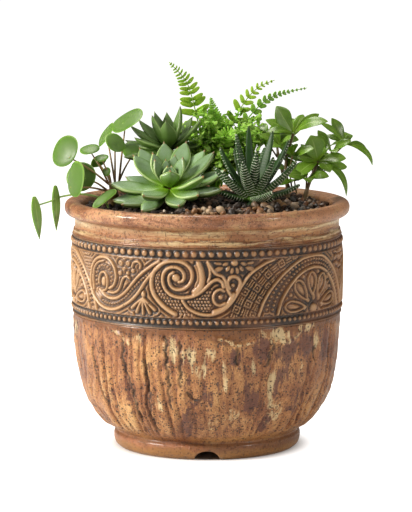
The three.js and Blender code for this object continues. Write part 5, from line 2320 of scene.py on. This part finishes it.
@dataclass(frozen=True)
class Frond:
    """One fern frond.

    It has its midrib's path, the reach of its longest leaflets, how many pairs it has, the share of its
    length that is bare stalk, a leaflet's width as a share of its length, its tone, and how far its leaflets
    lean forward, in radians.
    """

    path: tuple[Point, ...]
    reach: float
    pairs: int
    stalk: float
    slender: float
    tone: float
    lean: float
    face: Point = (0.0, -1.0, 0.15)


@dataclass
class Fern:
    """The bright fern behind the middle."""

    crown: Point = (6.0, 34.0, 211.0)
    fronds: tuple = (
        Frond(((3, 36, 216), (-6, 40, 262), (-14, 32, 296), (-20, 26, 309), (-32, 14, 323)),
              14.5, 14, 0.40, 0.43, 0.62, 0.26),
        Frond(((9, 37, 216), (18, 42, 258), (31, 45, 285), (44, 49, 299), (58, 53, 305)),
              12.0, 9, 0.46, 0.46, 0.80, 0.56),
        Frond(((12, 39, 215), (26, 50, 258), (47, 62, 284), (65, 74, 292), (87, 84, 296)),
              8.6, 13, 0.42, 0.60, 0.00, 0.80),
        Frond(((4, 33, 215), (8, 30, 250), (7, 24, 272), (5, 20, 284), (3, 17, 293)),
              14.5, 17, 0.34, 0.40, 0.50, 0.40),
        Frond(((7, 30, 215), (12, 14, 248), (16, 2, 262), (20, -10, 266), (24, -20, 260)),
              12.0, 12, 0.36, 0.46, 0.30, 0.40),
        Frond(((3, 41, 215), (-14, 62, 250), (-26, 76, 264), (-36, 88, 262), (-44, 98, 250)),
              14.0, 17, 0.28, 0.36, 0.45, 0.30, (-0.2, -0.2, 1.0)),
        Frond(((9, 43, 215), (16, 66, 246), (22, 82, 256), (28, 94, 250), (32, 103, 238)),
              13.0, 15, 0.28, 0.36, 0.40, 0.30, (0.2, -0.2, 1.0)))
    fresh_fronds: tuple = (2, 3, 4)
    rib_points: int = 120
    tuft_stems: int = 78
    tuft_points: int = 40
    finish: LeafFinish = LeafFinish(
        "fern_skin", deep=(0.150, 0.300, 0.012), fresh=(0.262, 0.425, 0.030), bloom=(0.33, 0.49, 0.07),
        margin=(0.34, 0.52, 0.05), tip=(0.36, 0.54, 0.05), rib=(0.34, 0.50, 0.09), bloom_share=0.45,
        margin_share=0.35, tip_share=0.3, rib_share=0.5, mottle_scale=110.0, roughness=0.48, glow=0.40,
        glow_reach=1.2, shine=0.25)
    tuft_finish: LeafFinish = LeafFinish(
        "fern_tuft_skin", deep=(0.120, 0.300, 0.018), fresh=(0.210, 0.450, 0.036), bloom=(0.34, 0.55, 0.10),
        margin=(0.30, 0.52, 0.04), tip=(0.32, 0.54, 0.05), bloom_share=0.5, margin_share=0.3, tip_share=0.3,
        mottle_scale=150.0, roughness=0.48, glow=0.40, glow_reach=1.2, shine=0.25)

    def build(self, groups: Groups) -> None:
        """Make the crown, each frond, and the tuft of small leaflets round the crown.

        Args:
            groups: The shared node groups.
        """
        material, tufts = self.finish.build(groups), self.tuft_finish.build(groups)
        x, y, z = self.crown
        path = [(x, y, z - 12), (x, y, z - 4), (x, y, z + 4)]
        crown = stem_shell(path, 7.0, 4.5, tone=0.2, knots=0.3, rows=14)
        add_piece("fern_crown", crown, material, ["fern_crown"])
        rng = np.random.default_rng(64)
        for index, frond in enumerate(self.fronds):
            name = f"fern_frond_{index + 1:02d}"
            skin = tufts if index in self.fresh_fronds else material
            add_piece(name, self._frond(frond, rng), skin, [name])
        tuft = merged([self._tuft_stem(rng) for _ in range(self.tuft_stems)])
        add_piece("fern_tuft", tuft, tufts)

    def _frond(self, frond: Frond, rng: Rng) -> Shell:
        """Build a frond: its midrib and its pairs of leaflets.

        Args:
            frond: Its path and sizes.
            rng: The source of chance.

        Returns:
            The midrib and the leaflets in one shell.
        """
        last = self.rib_points - 1
        line = smooth_line(frond.path, self.rib_points)
        tangent = unit(np.gradient(line, axis=0))
        shells = [stem_shell(frond.path, 0.9, 0.3, tone=0.4, sides=6, rows=40)]
        face = unit(np.array(frond.face))
        for pair in range(frond.pairs):
            place = ((pair + 0.3) / frond.pairs) ** 0.64
            index = min(last, int((frond.stalk + (1 - frond.stalk) * place) * last))
            along = tangent[index]
            upper = unit(face - along * np.dot(face, along))
            side = np.cross(along, upper)
            span = frond.reach * min(1.0, 0.80 + 1.2 * place, 1.12 * (1 - place) ** 0.92 + 0.06)
            for sign in (-1, 1):
                lean = frond.lean + 0.28 * place + rng.uniform(-0.06, 0.06)
                way = side * sign * math.cos(lean) + along * math.sin(lean)
                way = unit(way + upper * rng.uniform(-0.08, 0.10))
                length = max(1.6, span * rng.uniform(0.93, 1.05))
                form = LeafForm(
                    Outline.OBLONG, length, max(1.7, length * frond.slender), 0.5, bow=0.02, fold=0.05,
                    curl=rng.uniform(-0.08, 0.03), twist=rng.uniform(-0.15, 0.15), wave=0.15, sides=8)
                tone = float(np.clip(frond.tone + 0.25 * place + rng.uniform(-0.12, 0.12), 0, 1))
                pose = LeafPose(tuple(line[index]), *turn_and_rise(way), tuple(upper))
                shells.append(leaf_shell(form, pose, tone))
        return merged(shells)

    def _tuft_stem(self, rng: Rng) -> Shell:
        """Build one wiry stem of the tuft, with small fan-shaped leaflets.

        Args:
            rng: The source of chance.

        Returns:
            The stem and its leaflets in one shell.
        """
        x, y, z = self.crown
        foot = np.array([x, y, z + 2]) + heading(rng.uniform(0, 360), 0) * 3
        lean, depth = rng.uniform(-36, 36), rng.uniform(-34, 14)
        height = (74 - 0.011 * lean**2) * rng.uniform(0.40, 1.0)
        middle, end = foot + [3 + 0.4 * lean, 0.4 * depth, height * 0.62], foot + [9 + lean, depth, height]
        path = (tuple(foot), tuple(middle), tuple(end))
        line = smooth_line(path, self.tuft_points)
        shells = [stem_shell(path, 0.45, 0.25, tone=0.3, sides=5, rows=12)]
        tone = rng.uniform(-0.3, 0.45)
        bare, step, leaflets = 12, 2, 2
        for index in np.repeat(np.arange(bare, self.tuft_points, step), leaflets):
            way = unit(rng.normal(size=3) * [1, 0.7, 0.6] + [0, -0.2, 0.2])
            size = rng.uniform(4.6, 9.0)
            form = LeafForm(
                Outline.FAN, size, size * rng.uniform(0.42, 0.80), 0.25, bow=0.05, wave=0.5, lobes=2,
                curl=rng.uniform(-0.25, 0.15), lobe_depth=0.60, rows=7, sides=6)
            upper = tuple(unit(np.array([rng.normal() * 0.4 - 0.2, rng.normal() * 0.3 - 0.6, 0.75])))
            pose = LeafPose(tuple(line[index]), *turn_and_rise(way), upper)
            # Leaflets lower on the stem are darker: painted shade where the tuft is deepest, with a random
            # spread.
            shade = tone + 0.024 * (index - 26) + rng.uniform(-0.20, 0.30)
            shells.append(leaf_shell(form, pose, shade))
        return merged(shells)


@dataclass
class Shrub:
    """The glossy-leaved shrub at the right: woody stems that end in whorls of leaves."""

    stems: tuple = (
        ((70, 16, 197), (67, 17, 236), (73, 20, 262)),
        ((80, 10, 197), (88, 14, 224), (101, 28, 237), (118, 44, 251)),
        ((88, 14, 224), (91, 12, 232), (94, 12, 239)),
        ((70, 16, 214), (62, 34, 236), (60, 48, 250)))

    # Each whorl is its piece's name, the point where its leaves start, and rows of (turn, rise, length,
    # width, bow).
    whorls: tuple = (
        ("shrub_leaves_top", (73, 20, 262), (
            (-160, 58, 28, 15, -0.04), (20, 36, 29, 9, 0.04), (165, 26, 27, 8, 0.04),
            (-20, 20, 33, 13, 0.14), (60, 40, 24, 9, 0.03), (-165, 6, 24, 9, 0.1),
            (175, -12, 26, 10, 0.12), (100, 25, 28, 12, 0.08))),
        ("shrub_leaves_right", (118, 44, 251), (
            (170, 63, 25, 10, 0.06), (30, 55, 9, 6, 0), (20, -15, 22, 10, 0.1), (15, -36, 32, 7, 0.22),
            (160, 24, 18, 6, 0.05), (-165, 40, 30, 6, 0.1), (80, 20, 22, 9, 0.1), (130, -12, 22, 9, 0.1))),
        ("shrub_leaves_middle", (94, 12, 239), (
            (-130, 66, 25, 18, 0.03), (-10, 8, 24, 12, 0.08), (12, -14, 21, 9, 0.1),
            (-50, -27, 17, 12, 0.15), (-160, 12, 20, 11, 0.1), (-150, -27, 24, 13, 0.12),
            (-8, -50, 38, 8, 0.28), (150, 40, 22, 8, 0.03), (100, 20, 26, 12, 0.12),
            (60, 46, 22, 9, 0.05))),
        ("shrub_leaves_back", (60, 48, 250), (
            (90, 30, 28, 13, 0.15), (150, 28, 28, 12, 0.12), (30, 34, 28, 12, 0.12),
            (120, -8, 28, 12, 0.15), (60, -6, 28, 12, 0.15), (-10, 60, 24, 11, 0.05),
            (-150, 12, 24, 11, 0.1), (-40, 14, 24, 11, 0.1))))

    # Each side twig is the point where its leaves start, the twig's foot on a stem, and rows as above.
    twigs: tuple = (
        ((72, 8, 244), (70, 16, 232), (
            (-140, 30, 20, 10, 0.1), (-30, 20, 22, 11, 0.1), (160, 40, 20, 9, 0.1),
            (-80, 45, 16, 9, 0.08))),
        ((62, 6, 252), (68, 17, 240), (
            (-170, 30, 22, 9, 0.1), (-60, 30, 18, 10, 0.1), (-120, 5, 20, 10, 0.12),
            (120, 40, 20, 9, 0.1))),
        ((84, 4, 226), (84, 12, 216), (
            (-150, 10, 18, 10, 0.1), (-20, 5, 20, 10, 0.12), (-80, -10, 14, 9, 0.12))),
        ((74, 10, 222), (76, 13, 212), (
            (-170, -5, 18, 9, 0.12), (-40, 30, 16, 9, 0.1), (-100, 10, 14, 8, 0.1))),
        ((106, 26, 246), (102, 30, 238), (
            (-150, 40, 22, 9, 0.08), (-20, 30, 20, 9, 0.1), (160, 55, 22, 8, 0.06), (-80, 5, 18, 9, 0.1))),
        ((86, 24, 236), (84, 16, 222), (
            (-160, 20, 22, 12, 0.1), (-40, 10, 22, 12, 0.1), (-100, 30, 18, 11, 0.1),
            (20, 20, 22, 12, 0.1))),
        ((70, 26, 230), (72, 20, 216), (
            (-150, 15, 22, 12, 0.1), (-50, 10, 22, 12, 0.1), (-100, 40, 20, 11, 0.1))),
        ((100, 24, 230), (92, 18, 224), (
            (-150, 10, 20, 11, 0.1), (-60, 5, 20, 11, 0.1), (10, 10, 20, 11, 0.1))),
        ((50, 30, 256), (60, 40, 240), (
            (170, 30, 24, 9, 0.1), (100, 35, 22, 9, 0.1), (-120, 35, 22, 9, 0.1), (20, 40, 20, 9, 0.1))))
    face: Point = (0.0, -0.6, 0.8)
    stalk: float = 1.2
    bark: GritFinish = GritFinish("shrub_bark", (
        (0.0, (0.045, 0.030, 0.012)), (0.5, (0.13, 0.085, 0.030)), (1.0, (0.24, 0.17, 0.07))),
        420.0, 0.25, 0.6)
    finish: LeafFinish = LeafFinish(
        "shrub_skin", deep=(0.130, 0.230, 0.010), fresh=(0.095, 0.205, 0.010), bloom=(0.165, 0.275, 0.040),
        margin=(0.21, 0.34, 0.06), tip=(0.20, 0.28, 0.06), rib=(0.30, 0.42, 0.10), bloom_share=0.60,
        margin_share=0.3, tip_share=0.4, rib_share=0.65, mottle_scale=90.0, roughness=0.31, glow=0.35,
        glow_reach=1.6, shine=0.36, grain_depth=0.04)

    def build(self, groups: Groups) -> None:
        """Make the stems and the whorls.

        Args:
            groups: The shared node groups.
        """
        stems = [stem_shell(path, 1.75, 1.0, tone=0.5, sides=12, knots=0.3, rows=40) for path in self.stems]
        for node, foot, _ in self.twigs:
            stems.append(stem_shell((foot, node), 0.8, 0.6, tone=0.7, sides=8, rows=8))
        add_piece("shrub_stems", merged(stems), self.bark.build(groups), ["shrub_stems"])
        material = self.finish.build(groups)
        rng = np.random.default_rng(65)
        for name, node, rows in self.whorls:
            add_piece(name, self._whorl(node, rows, rng), material, [name])
        twig_leaves = merged([self._whorl(node, rows, rng) for node, _, rows in self.twigs])
        add_piece("shrub_twig_leaves", twig_leaves, material)

    def _whorl(self, node: Point, rows: Sequence[tuple], rng: Rng) -> Shell:
        """Build the leaves that start at one point.

        Args:
            node: The point.
            rows: Each leaf's turn, rise, length, width and bow.
            rng: The source of chance.

        Returns:
            The leaves in one shell.
        """
        shells = []
        for turn, rise, length, width, bow in rows:
            base = np.array(node, float) + heading(turn, rise) * self.stalk
            face = np.array(self.face) + [rng.uniform(-0.25, 0.25), rng.uniform(-0.2, 0.1), 0]
            form = LeafForm(
                Outline.OBOVATE, length - self.stalk, width, 0.9, bow=bow, fold=0.14, wave=0.3, waves=1.5,
                twist=rng.uniform(-0.2, 0.2), curl=rng.uniform(-0.08, 0.0), rows=24, sides=16)
            pose = LeafPose(tuple(base), turn, rise, tuple(face))
            shells.append(leaf_shell(form, pose, float(rng.random())))
        return merged(shells)


@dataclass
class TrailingVine:
    """The thin runner over the left rim, with its hanging leaves."""

    runner: tuple = (
        (-80, -35, 200), (-84, -34, 209), (-92, -32, 214), (-106, -30, 216), (-122, -34, 214),
        (-130, -39, 211), (-139.5, -45, 208.5))
    # Each leaf is (base, turn, rise, length, width).
    leaves: tuple = (((-143, -46, 216), 20, -83, 37, 8), ((-126, -35, 224), -20, -89, 39, 7))
    face: Point = (0.3, -0.95, 0.1)
    finish: LeafFinish = LeafFinish(
        "vine_skin", deep=(0.20, 0.34, 0.05), fresh=(0.19, 0.34, 0.055), bloom=(0.20, 0.33, 0.13),
        margin=(0.32, 0.48, 0.13), tip=(0.3, 0.4, 0.1), rib=(0.4, 0.52, 0.16), bloom_share=0.6,
        margin_share=0.4, tip_share=0.3, rib_share=0.6, mottle_scale=90.0, roughness=0.38, glow=0.35,
        glow_reach=1.8)

    def build(self, groups: Groups) -> None:
        """Make the runner and its leaves as one piece.

        Args:
            groups: The shared node groups.
        """
        shells = [stem_shell(self.runner, 1.0, 0.7, tone=0.8, sides=8, rows=50)]
        for base, turn, rise, length, width in self.leaves:
            form = LeafForm(
                Outline.LANCE, length, width, 1.6, bow=0.02, fold=0.12, twist=0.25, rows=26, sides=12)
            shells.append(leaf_shell(form, LeafPose(base, turn, rise, self.face), 0.6))
        add_piece("trailing_vine", merged(shells), self.finish.build(groups), ["trailing_vine"])


# ================================================================ the studio


@dataclass
class Studio:
    """Camera, lights and floor. The camera looks down a little on the pot from the front."""

    distance: float = 2.4
    elevation: float = 7.6
    target: Point = (-0.00085, 0.0, 0.160)
    lens: float = 199.7
    ambient: float = 0.15
    floor_half: float = 40.0
    floor_glow: float = 0.80
    floor_dark: Colour = (0.70, 0.70, 0.70)
    floor_pale: Colour = (0.74, 0.74, 0.74)
    lit_height: float = 0.15
    warmth: Colour = (1.0, 0.955, 0.88)
    white: Colour = (1.0, 1.0, 1.0)

    # Each lamp is (name, place, size, power).
    lamps: tuple = (
        ("key", (-1.90, -0.68, 1.05), 0.6, 68.0), ("fill", (1.75, -1.25, 1.0), 0.32, 15.0),
        ("top", (-0.3, 0.5, 1.7), 0.8, 18.0))

    def build(self) -> None:
        """Set up everything that isn't part of the object."""
        self._camera()
        self._floor()
        for lamp in self.lamps:
            self._lamp(*lamp)
        world = bpy.data.worlds.new("soft_white")
        bpy.context.scene.world = world
        world.use_nodes = True
        canvas = Canvas(world.node_tree)
        background = world.node_tree.nodes["Background"]
        seen = canvas.add("ShaderNodeLightPath", {}, "Is Camera Ray")
        canvas.feed(background.inputs["Color"], seen.between(self.warmth, self.white))
        canvas.feed(background.inputs["Strength"], canvas.math("MAXIMUM", seen, self.ambient))
        bpy.context.scene.view_settings.view_transform = "Standard"

    def _camera(self) -> None:
        """Place the camera at the photograph's angle."""
        camera = bpy.data.cameras.new("camera")
        camera.lens = self.lens
        camera.clip_end = 20.0
        holder = bpy.data.objects.new("camera", camera)
        tilt = math.radians(self.elevation)
        x, y, z = self.target
        holder.location = (x, y - self.distance * math.cos(tilt), z + self.distance * math.sin(tilt))
        holder.rotation_euler = (math.pi / 2 - tilt, 0.0, 0.0)
        bpy.context.scene.collection.objects.link(holder)
        bpy.context.scene.camera = holder

    def _floor(self) -> None:
        """Lay a wide white floor, which glows to the camera except under the pot."""
        mesh = bpy.data.meshes.new("floor")
        half = self.floor_half
        corners = [(-half, -half, 0.0), (half, -half, 0.0), (half, half, 0.0), (-half, half, 0.0)]
        mesh.from_pydata(corners, [], [(0, 1, 2, 3)])
        floor = bpy.data.objects.new("floor", mesh)
        canvas = MaterialCanvas("white_floor")
        from_middle = canvas.add("ShaderNodeVectorMath", {0: canvas.place()}, "Value", operation="LENGTH")
        seen = canvas.add("ShaderNodeLightPath", {}, "Is Camera Ray")
        speckle = canvas.noise(canvas.place(), 9.0, 2.0)
        mesh.materials.append(canvas.close({
            "Base Color": speckle.between(self.floor_dark, self.floor_pale),
            "Roughness": 0.9,
            "Emission Color": self.white,
            "Emission Strength": (seen * self.floor_glow + self.ambient) * from_middle.span(0.070, 0.092),
        }))
        bpy.context.scene.collection.objects.link(floor)

    def _lamp(self, name: str, place: Point, size: float, power: float) -> None:
        """Add a large soft lamp that faces the pot.

        Args:
            name: Its name.
            place: Where it stands.
            size: Its width.
            power: Its power in watts.
        """
        lamp = bpy.data.lights.new(name, "AREA")
        lamp.shape = "DISK"
        lamp.size = size
        lamp.energy = power
        lamp.color = self.warmth
        holder = bpy.data.objects.new(name, lamp)
        holder.location = place
        x, y, z = np.array([0.0, 0.0, self.lit_height]) - np.array(place)
        holder.rotation_euler = (math.acos(-z / math.hypot(x, y, z)), 0.0, math.atan2(y, x) - math.pi / 2)
        bpy.context.scene.collection.objects.link(holder)


def main() -> None:
    """Build the studio, then each part of the planted pot."""
    logging.basicConfig(level=logging.INFO, format="%(name)s %(message)s")
    Studio().build()
    groups = Groups()
    StonewarePot().build(groups, GlazeFinish())
    soil = PottingSoil()
    soil.build(groups)
    GravelDressing().build(groups, soil)
    for plant in (Echeveria(), DarkRosette(), Haworthia(), Pilea(), Fern(), Shrub(), TrailingVine()):
        plant.build(groups)
        LOG.info("%s done", type(plant).__name__)


if __name__ == "__main__":
    main()
